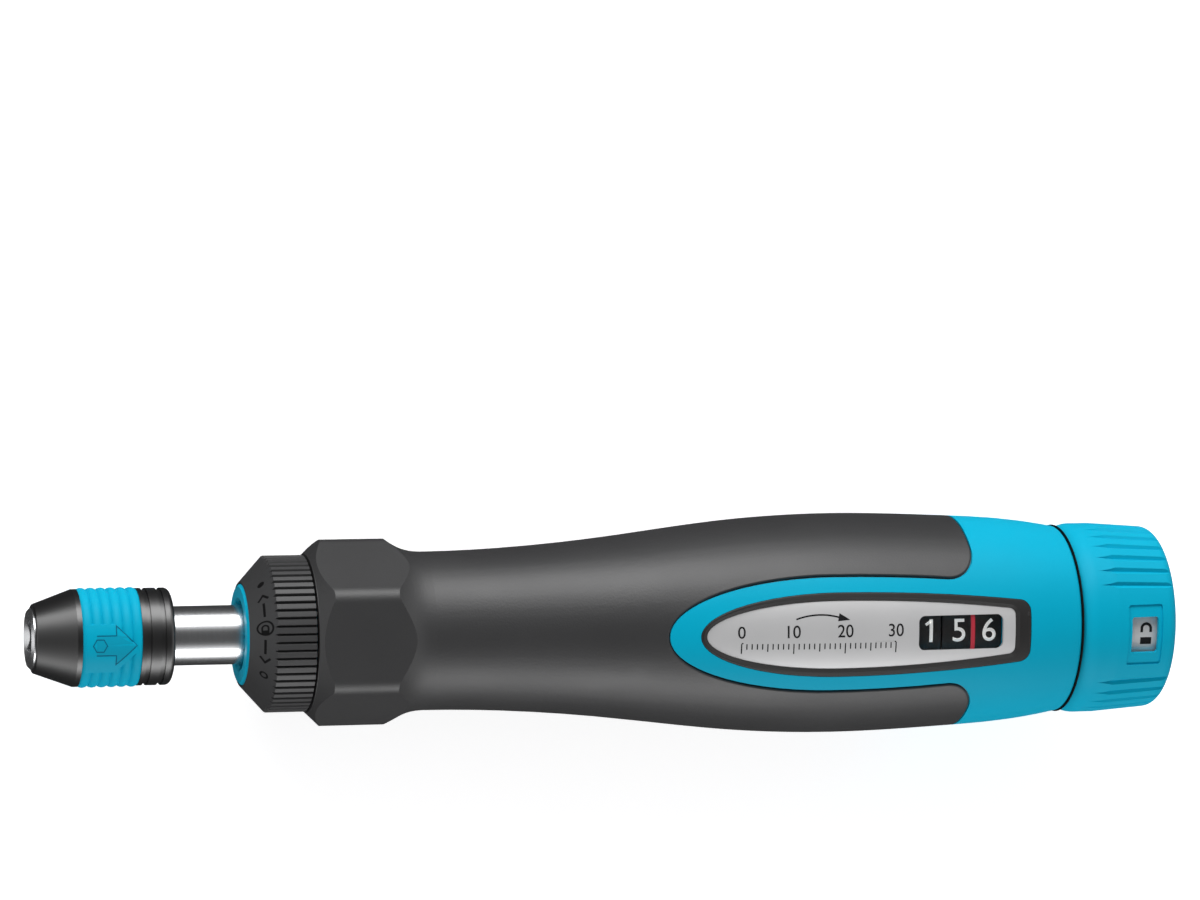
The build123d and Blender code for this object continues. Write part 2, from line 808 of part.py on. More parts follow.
def cam_plate():
    """The disc that moves the pawls. Its slots have a spiral inner edge, which lifts one pawl from the
    wheel and lowers the other into it."""
    plate = tube(cam_plate_x, cam_plate_end_x, selector_inner_r, hub_r + running)
    reach = selector_swing + cam_slot_margin
    for side in (1, -1):
        inner = []
        for i in range(cam_slot_points):
            place = follower_in_ring(side, reach * (2 * i / (cam_slot_points - 1) - 1))
            inner.append(place * ((place.length - follower_r - follower_play) / place.length))
        ends = (inner[0], inner[cam_slot_points // 2], inner[-1])
        outer = [place * (cam_slot_outer_r / place.length) for place in ends]
        slot = make_face([Spline(*inner), Line(inner[-1], outer[2]),
                          ThreePointArc(outer[2], outer[1], outer[0]), Line(outer[0], inner[0])])
        plate -= along(cam_plate_x, cam_plate_end_x, slot)
    return plate


def detent_spring():
    """A leaf in the drum whose nose drops into the selector ring's notches."""
    first = detent_angle - detent_leaf_half
    last = detent_angle + detent_leaf_half
    leaf = sector(detent_leaf_r - leaf_thick, detent_leaf_r, first, last)
    foot = sector(detent_pocket_r, detent_leaf_r, last - detent_foot_angle, last)
    nose = Pos(*polar(detent_nose_at_r - 2 * running, detent_angle)) * Circle(detent_nose_r - running)
    return along(leaf_x, leaf_x + leaf_width, leaf + nose + foot)


# Handle, outside

def back_line(depth=0.0):
    """The handle's outline from the neck to its end, as (x, r), lowered by depth."""
    length = handle_end_x - neck_x
    points = [(neck_x, neck_r)]
    points += [(neck_x + share * length, neck_r + rise) for share, rise in belly_rise]
    points += [(neck_x + share * length, belly_r - fall) for share, fall in belly_fall]
    points.append((handle_end_x, handle_end_r))
    return Spline(*[(x, r - depth) for x, r in points], tangents=[(1, 0), (1, -handle_end_slope)])


def body(depth=0.0, x0=front_wall_x, x1=handle_end_x):
    """The handle's swelling form as a solid, its surface lowered by depth, between two planes across it."""
    back = back_line(depth)
    outline = [Polyline((hex_front_x, 0), (hex_front_x, neck_r - depth), back @ 0), back,
               Polyline(back @ 1, (handle_end_x, 0), (hex_front_x, 0))]
    solid = revolve(make_face(outline), Axis.X)
    return solid & tube(x0, x1, wide)


def skin(top, bottom):
    """The layer between two depths under the handle's surface."""
    return body(top) - body(bottom)


def skin_edges(solid, first_x):
    """The edges, behind first_x, that lie on the handle's surface and run round or across it."""
    surface = outer_surface()

    def picked(edge):
        middle, start, end = edge @ 0.5, edge @ 0, edge @ 1
        across = abs(start.Y * end.Z - start.Z * end.Y) > tolerance
        return middle.X > first_x and across and surface.distance_to(middle) < tolerance
    return solid.edges().filter_by(picked)


def outer_surface():
    """The swelling face of the handle."""
    return body().faces().sort_by(SortBy.AREA)[-1]


def hexagon():
    """The anti-roll hexagon, chamfered in front and sloping into the neck behind."""
    prism = along(hex_front_x, neck_x, fillet(
        RegularPolygon(hex_flats / 2, 6, major_radius=False).vertices(), hex_corner_r))
    slope = Spline((hex_back_x, hex_cone_r), (neck_x, neck_r), tangents=[(1, -hex_back_slope), (1, 0)])
    outline = [Polyline((hex_front_x, 0), (hex_front_x, hex_front_r), (hex_chamfer_x, hex_cone_r),
                        (hex_back_x, hex_cone_r)), slope,
               Polyline((neck_x, neck_r), (neck_x, 0), (hex_front_x, 0))]
    return prism & revolve(make_face(outline), Axis.X)


def mirrored(edges):
    """A face from edges on one side of the tool's axis and their mirror image on the other."""
    return make_face(edges + [mirror(edge, Plane.XZ) for edge in edges])


def islands(margin=0.0):
    """The two panels where the core comes through the grip, in front and at the back, cut from plan view
    together with the shell behind the grip."""
    end_x = grip_end_x - margin
    corner = (end_x, island_neck_half + margin)
    widest = (island_widest_x, island_half + margin)
    behind = Polyline(corner, (end_x, wide), (handle_end_x, wide), (handle_end_x, 0))
    plan = mirrored(blunt_point(island_tip_x - margin, widest, corner) + [behind])
    corners = plan.vertices().filter_by(lambda v: abs(v.X - end_x) < tolerance and abs(v.Y) < wide / 2)
    return extrude(fillet(corners, grip_edge_round - margin), amount=wide, both=True)


def soft_grip():
    """The rubber skin, moulded round the core. Its edge is rounded down into a narrow groove along the
    panels."""
    blank = hexagon() + body(0, hex_front_x, grip_end_x)
    grip = blank - core_blank() - tube(hex_front_x, front_wall_x, neck_r - grip_thick)
    grip -= skin(0, grip_groove_depth) & islands(grip_groove)
    return fillet(skin_edges(grip, island_tip_x - overlap), grip_edge_fillet)


def core_blank():
    under = body(grip_thick, front_wall_x, grip_end_x)
    behind = body(0, grip_end_x, handle_end_x)
    return under + behind + (body(0, island_tip_x, grip_end_x) & islands())


def blunt_point(tip_x, widest, end):
    """One side of a long oval: a quarter of an ellipse in front, then one slack arc."""
    front = EllipticalCenterArc((widest[0], 0), widest[0] - tip_x, widest[1], quarter_turn,
                                arc_size=quarter_turn)
    return [front, TangentArc(widest, end, tangent=(1, 0))]


def oval(tip_x, widest, end_x, end_half, corner):
    """The outline of the window's frame and plate: a blunt point in front, a square end behind."""
    end = Line((end_x, end_half), (end_x, 0))
    face = mirrored(blunt_point(tip_x, widest, (end_x, end_half)) + [end])
    corners = face.vertices().filter_by(lambda v: abs(v.X - end_x) < tolerance and abs(v.Y) > end_half / 2)
    return fillet(corners, corner)


def bezel_outline():
    return oval(bezel_x, (bezel_widest_x, bezel_half), bezel_end_x, bezel_end_half, bezel_round)


def plate_outline(margin=0.0):
    widest = (bezel_widest_x, plate_half + margin)
    return oval(plate_x - margin, widest, plate_end_x + margin, plate_end_half + margin, plate_round)


def window_outline(margin=0.0):
    middle = (window_x + window_end_x) / 2
    length = window_end_x - window_x + 2 * margin
    corner = min(window_round, window_half / 2)
    return Pos(middle, 0) * RectangleRounded(length, 2 * (window_half + margin), corner)


def upright(face):
    """A plan-view outline raised through the window side of the handle."""
    return extrude(face, amount=wide)


def window_bezel():
    """The window's frame, rounded outside and sloped down to the plate inside."""
    frame = upright(bezel_outline()) & skin(0, bezel_depth)
    frame -= upright(plate_outline(seated)) & skin(0, plate_top + plate_thick)
    frame -= upright(window_outline(lens_margin))
    opening = plate_outline(2 * seated)

    def at_opening(edge):
        middle = edge @ 0.5
        return opening.distance_to(Vector(middle.X, middle.Y, 0)) < tolerance
    rim = skin_edges(frame, bezel_x - overlap).filter_by(lambda edge: not at_opening(edge))
    frame = fillet(rim, bezel_edge_fillet)
    surface = outer_surface()
    top = frame.faces().filter_by(lambda face: surface.distance_to(face.center()) < tolerance)
    slope = skin_edges(frame, bezel_x - overlap).filter_by(at_opening)
    return chamfer(slope, bezel_slope_width, bezel_slope_depth, reference=top.sort_by(SortBy.AREA)[-1])


def scale_plate():
    plate = upright(plate_outline()) & skin(plate_top, plate_top + plate_thick)
    return plate - upright(window_outline())


def window_lens():
    top = plate_top + plate_thick
    return upright(window_outline(lens_margin - seated)) & skin(top, top + lens_thick)


def decimal_line():
    top = plate_top + plate_thick
    bar = Pos(decimal_x, 0) * Rectangle(decimal_width, 2 * window_half)
    return upright(bar) & skin(top - decimal_thick, top)


def handle_core():
    core = core_blank()
    core -= tube(front_wall_x, front_wall_end_x, front_wall_bore_r)
    core -= tube(front_wall_end_x, cavity_x, bore_r)
    core -= tube(cavity_x, handle_end_x, cavity_r)
    core -= upright(bezel_outline()) & skin(0, bezel_depth)
    core -= upright(window_outline(lens_margin))
    return fillet(circles(core, handle_end_r)[-1], handle_end_round)


# Handle, inside

def front_bush():
    return tube(front_wall_end_x, bush_end_x, bore_r, hub_r + running)


def keyways(x0, x1, clearance=0.0):
    """The slots in the tube, or with a negative clearance the keys that slide in them."""
    width = keyway_width + clearance
    top = tube_bore_r + keyway_depth + clearance / 2
    bar = Pos(0, top / 2) * Rectangle(width, top)
    return ring_of(along(x0, x1, bar), keyway_count)


def housing_tube():
    case = tube(bush_end_x, cavity_x, bore_r, tube_bore_r)
    for slot in keyways(disc_end_x, spindle_collar_x):
        case -= slot
    return case - tube(bulkhead_clip_x, bulkhead_clip_x + bulkhead_clip_width, bulkhead_clip_r)


def thrust_washer():
    return tube(washer_x, washer_x + washer_thick, plate_r, hub_r + 2 * running)


def ring_of_balls(radius, count):
    """Balls at the clutch's pitch radius, also used to cut the hollows that they sit in."""
    return ring_of(Pos(clutch_ball_x, 0, clutch_pitch_r) * Sphere(radius), count)


def clutch_balls():
    return Compound(ring_of_balls(clutch_ball_r, clutch_ball_count))


def clutch_disc():
    spigot_x = shaft_end_x + disc_spigot_gap
    disc = tube(disc_x, disc_end_x, disc_r) + tube(spigot_x, disc_x, hub_bore_r)
    for hollow in ring_of_balls(clutch_ball_r + running, clutch_hollows):
        disc -= hollow
    return disc - disc_drive_pins()


def disc_drive_pins():
    first_x = hub_end_x - disc_pin_length / 2
    return Compound(ring_of(rod(first_x, first_x + disc_pin_length, disc_pin_r, disc_pin_at_r), disc_pins))


def pressure_plate():
    plate = tube(pressure_x, pressure_end_x, plate_r)
    plate += tube(pressure_end_x, pressure_end_x + pressure_boss_length, pressure_boss_r)
    for key in keyways(pressure_x, pressure_end_x, -2 * running):
        plate += key
    for hollow in ring_of_balls(clutch_ball_r + seated, clutch_ball_count):
        plate -= hollow
    return plate


def main_spring():
    return coil(pressure_end_x, nut_x, spring_mean_r, spring_wire_r, spring_coils)


def spring_nut():
    nut = tube(nut_x, nut_x + nut_thick, plate_r)
    for key in keyways(nut_x, nut_x + nut_thick, -2 * running):
        nut += key
    return nut - tube(nut_x, nut_x + nut_thick, thread_r + running)


def setting_spindle():
    hex_end_x = number_wheel_end_x + side_gap
    spindle = tube(thread_x, thread_end_x, thread_r)
    spindle += tube(thread_end_x, spindle_collar_x, thread_r - thread_undercut)
    spindle += tube(spindle_collar_x, spindle_collar_end_x, collar_r)
    spindle += tube(spindle_collar_end_x, counter_journal_end_x, spindle_r)
    spindle += along(counter_journal_end_x, hex_end_x, RegularPolygon(wheel_hex / 2, 6, major_radius=False))
    spindle += tube(hex_end_x, seat_x, rear_journal_r)
    spindle += along(seat_x, spindle_end_x, Circle(seat_r) & Rectangle(2 * seat_r, seat_flats))
    return spindle - tube(spindle_end_x - screw_length, spindle_end_x, screw_r)


def thrust_races():
    race = tube(race_x, race_x + race_thick, plate_r - 2 * running, spindle_r + running)
    return Compound([race, Pos(second_race_x - race_x, 0, 0) * race])


def thrust_balls():
    return Compound(ring_of(Pos(race_ball_x, 0, spring_mean_r) * Sphere(race_ball_r), race_balls))


def bulkhead():
    return tube(bulkhead_x, bulkhead_end_x, tube_bore_r, spindle_r + running)


def bulkhead_retainer():
    end_x = bulkhead_clip_x + bulkhead_clip_width
    return tube(bulkhead_clip_x, end_x, bulkhead_clip_r, bulkhead_clip_bore_r)


# Counter

def counter_frame():
    frame = tube(counter_x, counter_x + counter_flange, counter_flange_r, spindle_r + running)
    return frame + tube(counter_x, counter_journal_end_x, journal_outer_r, spindle_r + running)


def number_wheel(place):
    x = wheel_places[place]
    return tube(x, x + number_wheel_width, number_wheel_r, journal_outer_r + running)


def tenths_wheel():
    x = wheel_places[2]
    wheel = tube(x, x + number_wheel_width, number_wheel_r)
    wheel -= tube(x + number_web, x + number_wheel_width, number_recess_r, number_hub_r)
    return wheel - along(x, x + number_wheel_width, RegularPolygon(wheel_hex / 2, 6, major_radius=False))


# Rear cover, lock and cap

def rear_cover():
    boss_x = number_wheel_end_x + 2 * side_gap
    web_x = (cover_x + cover_end_x - cover_web) / 2
    cover = tube(boss_x, cover_end_x, cover_boss_r, rear_journal_r + running)
    cover += tube(cover_x, cover_end_x, cover_r, cover_r - cover_rim)
    cover += tube(web_x, web_x + cover_web, cover_r, rear_journal_r + running)
    cover += tube(web_x, cover_end_x, lock_ring_r, lock_ring_bore_r)
    return cover - lock_screws()


def lock_ring():
    ring = tube(cover_end_x, lock_flange_end_x, lock_ring_r, lock_ring_bore_r)
    ring += tube(lock_flange_x, lock_flange_end_x, lock_flange_r, lock_ring_r)
    slot = along(lock_flange_x, lock_flange_end_x,
                 Pos(0, lock_slot_bottom_r + wide / 2) * Rectangle(lock_slot_width, wide))
    for cut in ring_of(slot, lock_slots):
        ring -= cut
    return ring - lock_screws()


def lock_screws():
    at_r = (lock_ring_r + lock_ring_bore_r) / 2
    head_x = lock_flange_end_x - lock_screw_head_length
    screw = rod(head_x, lock_flange_end_x, lock_screw_head_r, at_r)
    screw += rod(cover_end_x - lock_screw_depth, head_x, lock_screw_r, at_r)
    return Compound(ring_of(screw, lock_screw_count, lock_screw_angle))


def dog_ring():
    ring = tube(dog_ring_x, dog_x, cap_inner_r, lock_ring_r + 2 * running)
    top_r = lock_flange_r - running
    bottom_r = lock_slot_bottom_r + running
    section = Pos(0, (top_r + bottom_r) / 2) * Rectangle(dog_width, top_r - bottom_r)
    for dog in ring_of(along(dog_x, dog_x + dog_height, section), lock_slots):
        ring += dog
    return ring


def setting_cap():
    mouth = TangentArc((cap_mouth_x, cap_r), (cap_x, cap_mouth_r), tangent=(-1, 0))
    sides = Polyline((cap_mouth_x, cap_r), (cap_taper_x, cap_r), (cap_end_x, cap_end_r), (cap_end_x, 0),
                     (cap_inner_end_x, 0), (cap_inner_end_x, cap_inner_r), (cap_x, cap_inner_r),
                     (cap_x, cap_mouth_r))
    cap = revolve(make_face([mouth, sides]), Axis.X)
    cap = fillet(circles(cap, cap_end_r), cap_round)
    dish = cap_opening(cap_recess_margin, cap_recess_half)
    dish -= turned((cap_taper_x, 0), (cap_taper_x, cap_r - cap_recess_depth),
                   (cap_end_x, cap_end_r - cap_recess_depth), (cap_end_x, 0))
    for cutter in (cap_opening(0, cap_window_half), dish):
        for cut in ring_of(cutter, cap_groups, cap_first_window):
            cap -= cut
    cap -= Compound(cap_flutes())
    rib_bottom_r = mark_sleeve_r - spline_depth
    section = Pos(0, (cap_inner_r + rib_bottom_r) / 2) * Rectangle(spline_width, cap_inner_r - rib_bottom_r)
    for rib in ring_of(along(cap_window_x, cap_inner_end_x, section), spline_count, spline_angle):
        cap += rib
    for x in (detent_ring_x, detent_ring_x - cap_stroke):
        cap -= tube(x - detent_wire_r, x + detent_wire_r, cap_inner_r + detent_wire_r / 2)
    return cap


def cap_opening(margin, half):
    """A cutter for one of the cap's windows, wider along the tool by a margin at each end."""
    length = cap_window_length + 2 * margin
    corner = min(cap_window_round, length / 4, half / 2)
    plan = Pos(cap_window_x + cap_window_length / 2, 0) * RectangleRounded(length, 2 * half, corner)
    return extrude(Plane.XY.offset(cap_inner_r / 2) * plan, amount=cap_r)


def cap_flutes():
    """Grooves between the cap's windows, pointed in front and running out over the rim."""
    flutes = []
    for group in range(cap_groups):
        middle = cap_first_window + (group + 0.5) * 360.0 / cap_groups
        for i in range(cap_grooves):
            turn = middle + (i - (cap_grooves - 1) / 2) * cap_groove_pitch
            flutes.append(Rot(turn, 0, 0) * cap_flute())
    return flutes


def cap_flute():
    """One groove: a ridge-shaped cutter that is as deep on the taper as on the straight part."""
    def section(x, bottom, half, top):
        return Plane.YZ.offset(x) * make_face(Polyline((0, bottom), (half, top), (-half, top), close=True))
    half = cap_groove_width / 2 * (cap_groove_depth + overlap) / cap_groove_depth
    fall = cap_r - cap_end_r
    start = section(cap_groove_x, cap_r - cap_groove_tip_depth, cap_groove_tip / 2, cap_r + overlap)
    full = section(cap_taper_x, cap_r - cap_groove_depth, half, cap_r + overlap)
    end = section(cap_end_x + overlap, cap_r - cap_groove_depth - fall, half, cap_r + overlap - fall)
    return loft([start, full], ruled=True) + loft([full, end], ruled=True)


def mark_sleeve():
    inner_r = mark_sleeve_r - mark_sleeve_wall
    sleeve = tube(mark_sleeve_x, mark_sleeve_end_x, mark_sleeve_r, inner_r)
    sleeve += tube(mark_sleeve_end_x - mark_sleeve_web, mark_sleeve_end_x, inner_r)
    sleeve += tube(seat_x + side_gap, mark_sleeve_end_x, mark_boss_r)
    sleeve -= along(seat_x, spindle_end_x, Circle(seat_r) & Rectangle(2 * seat_r, seat_flats))
    sleeve -= tube(spindle_end_x, mark_sleeve_end_x, screw_r)
    section = Pos(0, mark_sleeve_r) * Rectangle(spline_width + 2 * running, 2 * spline_depth + 4 * running)
    for cut in ring_of(along(mark_sleeve_x, mark_sleeve_end_x, section), spline_count, spline_angle):
        sleeve -= cut
    bottom_r = mark_sleeve_r - detent_wire_r
    return sleeve - tube(detent_ring_x - detent_wire_r, detent_ring_x + detent_wire_r, wide, bottom_r)


def detent_ring():
    """The round wire that snaps the cap into its two places."""
    path = Plane.YZ.offset(detent_ring_x) * Circle(mark_sleeve_r + running).edge()
    section = Plane(origin=path @ 0, z_dir=path % 0) * Circle(detent_wire_r - seated)
    return sweep(section, path)


def spindle_screw():
    head = tube(mark_sleeve_end_x, mark_sleeve_end_x + screw_head_length, screw_head_r)
    return head + tube(spindle_end_x - screw_length, mark_sleeve_end_x, screw_r)


# All pieces

pieces = {
    "drive_shaft": drive_shaft(),
    "bit_ball": bit_ball(),
    "chuck_sleeve": chuck_sleeve(),
    "chuck_band": chuck_band(),
    "sleeve_ring": sleeve_ring(),
    "sleeve_spring": sleeve_spring(),
    "ratchet_wheel": ratchet_wheel(),
    "shaft_clip": shaft_clip(),
    "pawl_a": pawl(1),
    "pawl_b": pawl(-1),
    "pawl_pins": pawl_pins(),
    "pawl_springs": pawl_springs(),
    "ratchet_body": ratchet_body(),
    "front_ring": front_ring(),
    "selector_ring": selector_ring(),
    "cam_plate": cam_plate(),
    "detent_spring": detent_spring(),
    "handle_core": handle_core(),
    "soft_grip": soft_grip(),
    "window_bezel": window_bezel(),
    "scale_plate": scale_plate(),
    "window_lens": window_lens(),
    "decimal_line": decimal_line(),
    "front_bush": front_bush(),
    "housing_tube": housing_tube(),
    "thrust_washer": thrust_washer(),
    "clutch_disc": clutch_disc(),
    "clutch_disc_pins": disc_drive_pins(),
    "clutch_balls": clutch_balls(),
    "pressure_plate": pressure_plate(),
    "main_spring": main_spring(),
    "spring_nut": spring_nut(),
    "setting_spindle": setting_spindle(),
    "thrust_races": thrust_races(),
    "thrust_balls": thrust_balls(),
    "bulkhead": bulkhead(),
    "bulkhead_clip": bulkhead_retainer(),
    "counter_frame": counter_frame(),
    "tens_wheel": number_wheel(0),
    "ones_wheel": number_wheel(1),
    "tenths_wheel": tenths_wheel(),
    "rear_cover": rear_cover(),
    "lock_ring": lock_ring(),
    "lock_screws": lock_screws(),
    "dog_ring": dog_ring(),
    "setting_cap": setting_cap(),
    "mark_sleeve": mark_sleeve(),
    "detent_ring": detent_ring(),
    "spindle_screw": spindle_screw(),
}


# The tool at rest: it is tilted until the hexagon's front edge and the belly both touch the bench

def rest_place():
    edge_x = hex_front_x + hex_chamfer * hex_front_step / (hex_front_step + hex_cone_step)
    back = back_line()
    points = [back @ (i / rest_samples) for i in range(rest_samples + 1)]
    tilt = max(math.atan2(point.Y - hex_flats / 2, point.X - edge_x) for point in points)
    laid_down = Rot(0, -math.degrees(tilt), 0)
    ends = Compound([laid_down * pieces["drive_shaft"], laid_down * pieces["setting_cap"]]).bounding_box()
    height = hex_flats / 2 * math.cos(tilt) - edge_x * math.sin(tilt)
    return Pos(-ends.center().X, 0, height) * laid_down


rest = rest_place()
os.makedirs("parts", exist_ok=True)
for name, piece in pieces.items():
    placed = rest * piece
    placed.label = name
    export_step(placed, f"parts/{name}.step")
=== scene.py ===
import json
import math

import bmesh
import bpy
from bpy.props import FloatProperty, FloatVectorProperty, PointerProperty
from mathutils import Matrix, Vector


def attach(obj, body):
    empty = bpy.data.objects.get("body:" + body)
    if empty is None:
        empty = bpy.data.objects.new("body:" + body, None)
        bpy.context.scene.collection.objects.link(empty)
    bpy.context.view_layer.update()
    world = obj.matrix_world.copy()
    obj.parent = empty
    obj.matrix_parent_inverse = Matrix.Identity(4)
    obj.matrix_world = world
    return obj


bl_info = {
    "name": "Torque screwdriver dressing",
    "version": (1, 0, 0),
    "blender": (4, 5, 0),
    "location": "View3D > Sidebar > Screwdriver",
    "description": "Finishes, printed numbers, engraved marks and a photo table for a torque screwdriver",
    "category": "Object",
}

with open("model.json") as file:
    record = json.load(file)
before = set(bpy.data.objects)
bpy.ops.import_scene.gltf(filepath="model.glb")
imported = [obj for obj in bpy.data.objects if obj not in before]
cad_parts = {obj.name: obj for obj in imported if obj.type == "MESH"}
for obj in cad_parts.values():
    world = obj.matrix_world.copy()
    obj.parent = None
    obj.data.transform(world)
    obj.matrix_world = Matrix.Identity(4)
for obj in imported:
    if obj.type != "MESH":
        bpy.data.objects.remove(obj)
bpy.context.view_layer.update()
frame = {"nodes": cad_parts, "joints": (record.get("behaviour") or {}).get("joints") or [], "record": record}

# The tool's own frame: x in millimetres from the tip's face along the axis, and angles about it from
# the window's side towards -Y of the shared frame.
joints = {joint["name"]: joint for joint in frame["joints"]}
tip = Vector(joints["clutch_slip"]["pos_m"])
along = Vector(joints["clutch_slip"]["axis"]).normalized()
sideways = Vector((0, 1, 0))
out = along.cross(sideways)
mm = 0.001

outside_r = 30.0         # beyond every piece
middle_x = 85.0

# Places of the marks in that frame
first_wheel_x = 129.95
wheel_pitch = 4.6
wheel_numbers = 10
scale_x = 101.0
scale_top = 30
selector_marks_x = 32.45
lock_mark_angle = -11.8
arrow_from_lock = 20.0
dot_from_lock = 42.0
cap_window_middle_x = 163.6
cap_window_angle = 5.2
cap_windows = 3
gap_ring_x = 153.35
pull_arrow_x = 14.53
pull_arrow_angle = 3.1


def tool_point(x, y, z):
    """A point of the tool's own frame, in millimetres, as a place in the row frame."""
    return tip + (along * x + sideways * y + out * z) * mm


def round_point(x, r, angle):
    """A point at radius r and an angle in degrees about the axis."""
    a = math.radians(angle)
    return tool_point(x, -r * math.sin(a), r * math.cos(a))


def linear(red, green, blue):
    """A colour as it is seen on a screen, 0 to 255, as the linear colour that a shader takes."""
    return tuple(((c / 255 + 0.055) / 1.055) ** 2.4 for c in (red, green, blue)) + (1.0,)


def colour_property(name, description, red, green, blue):
    """A setting for a colour, written as it is seen on a screen."""
    return FloatVectorProperty(name=name, description=description, subtype="COLOR", size=4, min=0, max=1,
                               default=linear(red, green, blue))


class FinishColours(bpy.types.PropertyGroup):
    shell: colour_property("Shell", "Moulded shell, band, front ring and cap", 0, 162, 194)
    grip: colour_property("Grip", "Soft grip", 42, 42, 43)
    selector: colour_property("Selector", "Knurled selector ring", 48, 48, 49)
    chuck: colour_property("Chuck sleeve", "Black sleeve of the chuck", 11, 11, 12)
    frame: colour_property("Window frame", "Black frame of the window", 27, 26, 26)
    plate: colour_property("Plate", "Silver plate beside the window", 205, 205, 206)
    wheel: colour_property("Number wheels", "Body of the number wheels", 62, 58, 57)
    # This colour also drives a faint glow of the numbers' ink: painted light on the wheels behind the window
    white_ink: colour_property("Numbers", "Numbers printed on the wheels", 250, 249, 246)
    red: colour_property("Decimal line", "Red line between ones and tenths", 172, 42, 58)
    black_ink: colour_property("Scale", "Print on the plate and the lock signs", 24, 24, 26)
    # The marks' colour is also painted into the selector's knurl grooves as shade
    mark: colour_property("Marks", "Bottom of the marks in the selector", 8, 8, 9)
    # Painted shade: the two arrow colours are darker copies of the shell for the edge and the floor of a cut
    arrow_mark: colour_property("Arrow line", "Edge of the arrow cut into the band", 0, 96, 124)
    arrow_floor: colour_property("Arrow", "Bottom of the arrow cut into the band", 0, 150, 180)
    floor: colour_property("Floor", "Photo table", 246, 246, 247)


def size_property(name, description, default):
    """A setting for a size in millimetres."""
    return FloatProperty(name=name, description=description + ", in mm", default=default, min=0.005)


class MarkSizes(bpy.types.PropertyGroup):
    number_height: size_property("Numbers", "Height of the numbers on the wheels", 3.35)
    ink: size_property("Ink", "How far print stands proud", 0.015)
    cut: size_property("Cut", "How far the colour of a cut mark stands proud", 0.02)
    cut_width: size_property("Cut width", "Width of a cut line", 0.22)
    arrow_width: size_property("Arrow line", "Width of the pull arrow's line", 0.15)
    lock_circle: size_property("Lock circle", "Radius of the circle round the selector's lock sign", 0.95)
    dot: size_property("Dot", "Radius of the round mark at each end of the selector's arrows", 0.42)
    scale_length: size_property("Scale", "Length of the scale on the plate", 23.0)
    scale_line: size_property("Scale line", "Width of the scale's lines", 0.17)
    scale_tick: size_property("Scale tick", "Length of a short tick", 0.8)
    scale_number: size_property("Scale number", "Height of the scale's numbers", 1.75)
    scale_drop: size_property("Scale drop", "How far the scale's line lies off the plate's middle", 1.0)
    turn_arrow: size_property("Turning arrow", "Length of the turning arrow on the plate", 7.0)
    arrow_length: size_property("Arrow", "Length of the pull arrow", 5.7)
    arrow_head: size_property("Arrow head", "Length of the pull arrow's head", 2.9)
    arrow_half: size_property("Arrow half", "Half the width of the pull arrow's head", 2.85)
    arrow_shaft_half: size_property("Arrow shaft", "Half the width of the pull arrow's shaft", 1.42)
    arrow_hexagon: size_property("Hexagon", "Radius of the hexagon at the pull arrow's tail", 1.0)
    seal_radius: size_property("Seal", "Outer radius of the seal in front of the cap", 13.9)
    seal_width: size_property("Seal width", "Width of the seal along the tool", 0.29)
    seal_height: size_property("Seal height", "Height of the seal's section", 0.7)


class StageSizes(bpy.types.PropertyGroup):
    lens_mm: FloatProperty(name="Lens", description="Focal length of the camera in mm", default=156.0, min=20)
    floor_size: FloatProperty(name="Floor", description="Side of the photo table", default=8.0, unit="LENGTH")
    key_power: FloatProperty(name="Key light", description="Power of the large soft box in W",
                             default=4.1, min=0)
    fill_power: FloatProperty(name="Fill light", description="Power of the soft box across from it in W",
                              default=1.95, min=0)
    sky: FloatProperty(name="Room light", description="Level of the room around the table", default=0.38, min=0)
    mirror_sky: FloatProperty(name="Mirrored band", description="Level of the room's sides where mirrored",
                              default=1.3, min=0)
    mirror_top: FloatProperty(name="Mirrored top", description="Level of the room's top where it is mirrored",
                              default=0.1, min=0)
    bounce: FloatProperty(name="Bounce", description="How much light the table gives back to the tool",
                          default=0.62, min=0, max=1)
    mirrored: FloatProperty(name="Mirrored", description="How light the table is where the tool mirrors it",
                            default=0.06, min=0, max=1)
    floor_glow: FloatProperty(name="Table glow", description="Own light of the table, for the camera only",
                              default=0.55, min=0)


# Effects shared by the materials

def new_group(name, inputs, outputs):
    """An empty group with its sockets, and the nodes at its start and its end."""
    group = bpy.data.node_groups.new(name, "ShaderNodeTree")
    for label, default in inputs:
        socket = group.interface.new_socket(label, in_out="INPUT", socket_type="NodeSocketFloat")
        socket.default_value = default
    for label, kind in outputs:
        group.interface.new_socket(label, in_out="OUTPUT", socket_type=kind)
    return group, group.nodes.new("NodeGroupInput"), group.nodes.new("NodeGroupOutput")


def wire(tree, *pairs):
    for source, target in pairs:
        tree.links.new(source, target)


def feed(socket, value):
    """Links an input to the socket that is given for it, or sets it to the value."""
    if isinstance(value, bpy.types.NodeSocket):
        wire(socket.id_data, (value, socket))
    else:
        socket.default_value = value


def by_identifier(sockets, identifier):
    return next(socket for socket in sockets if socket.identifier == identifier)


def result(tree, kind, operation, *values, gives="Value"):
    """What a Math or a Vector Math node makes of values and sockets."""
    node = tree.nodes.new(f"ShaderNode{kind}")
    node.operation = operation
    for socket, value in zip(node.inputs, values):
        feed(socket, value)
    return node.outputs[gives]


def ranged(tree, value, from_low=0.0, from_high=1.0, to_low=0.0, to_high=1.0):
    """Maps a value from one range to another and stops at its ends."""
    node = tree.nodes.new("ShaderNodeMapRange")
    for label, given in (("Value", value), ("From Min", from_low), ("From Max", from_high),
                         ("To Min", to_low), ("To Max", to_high)):
        feed(node.inputs[label], given)
    return node.outputs["Result"]


def mixed(tree, factor, first, second, kind="Float"):
    """A number or a colour that goes from one to another with a factor."""
    node = tree.nodes.new("ShaderNodeMix")
    node.data_type = {"Float": "FLOAT", "Color": "RGBA"}[kind]
    for name, given in (("Factor_Float", factor), (f"A_{kind}", first), (f"B_{kind}", second)):
        feed(by_identifier(node.inputs, name), given)
    return by_identifier(node.outputs, f"Result_{kind}")


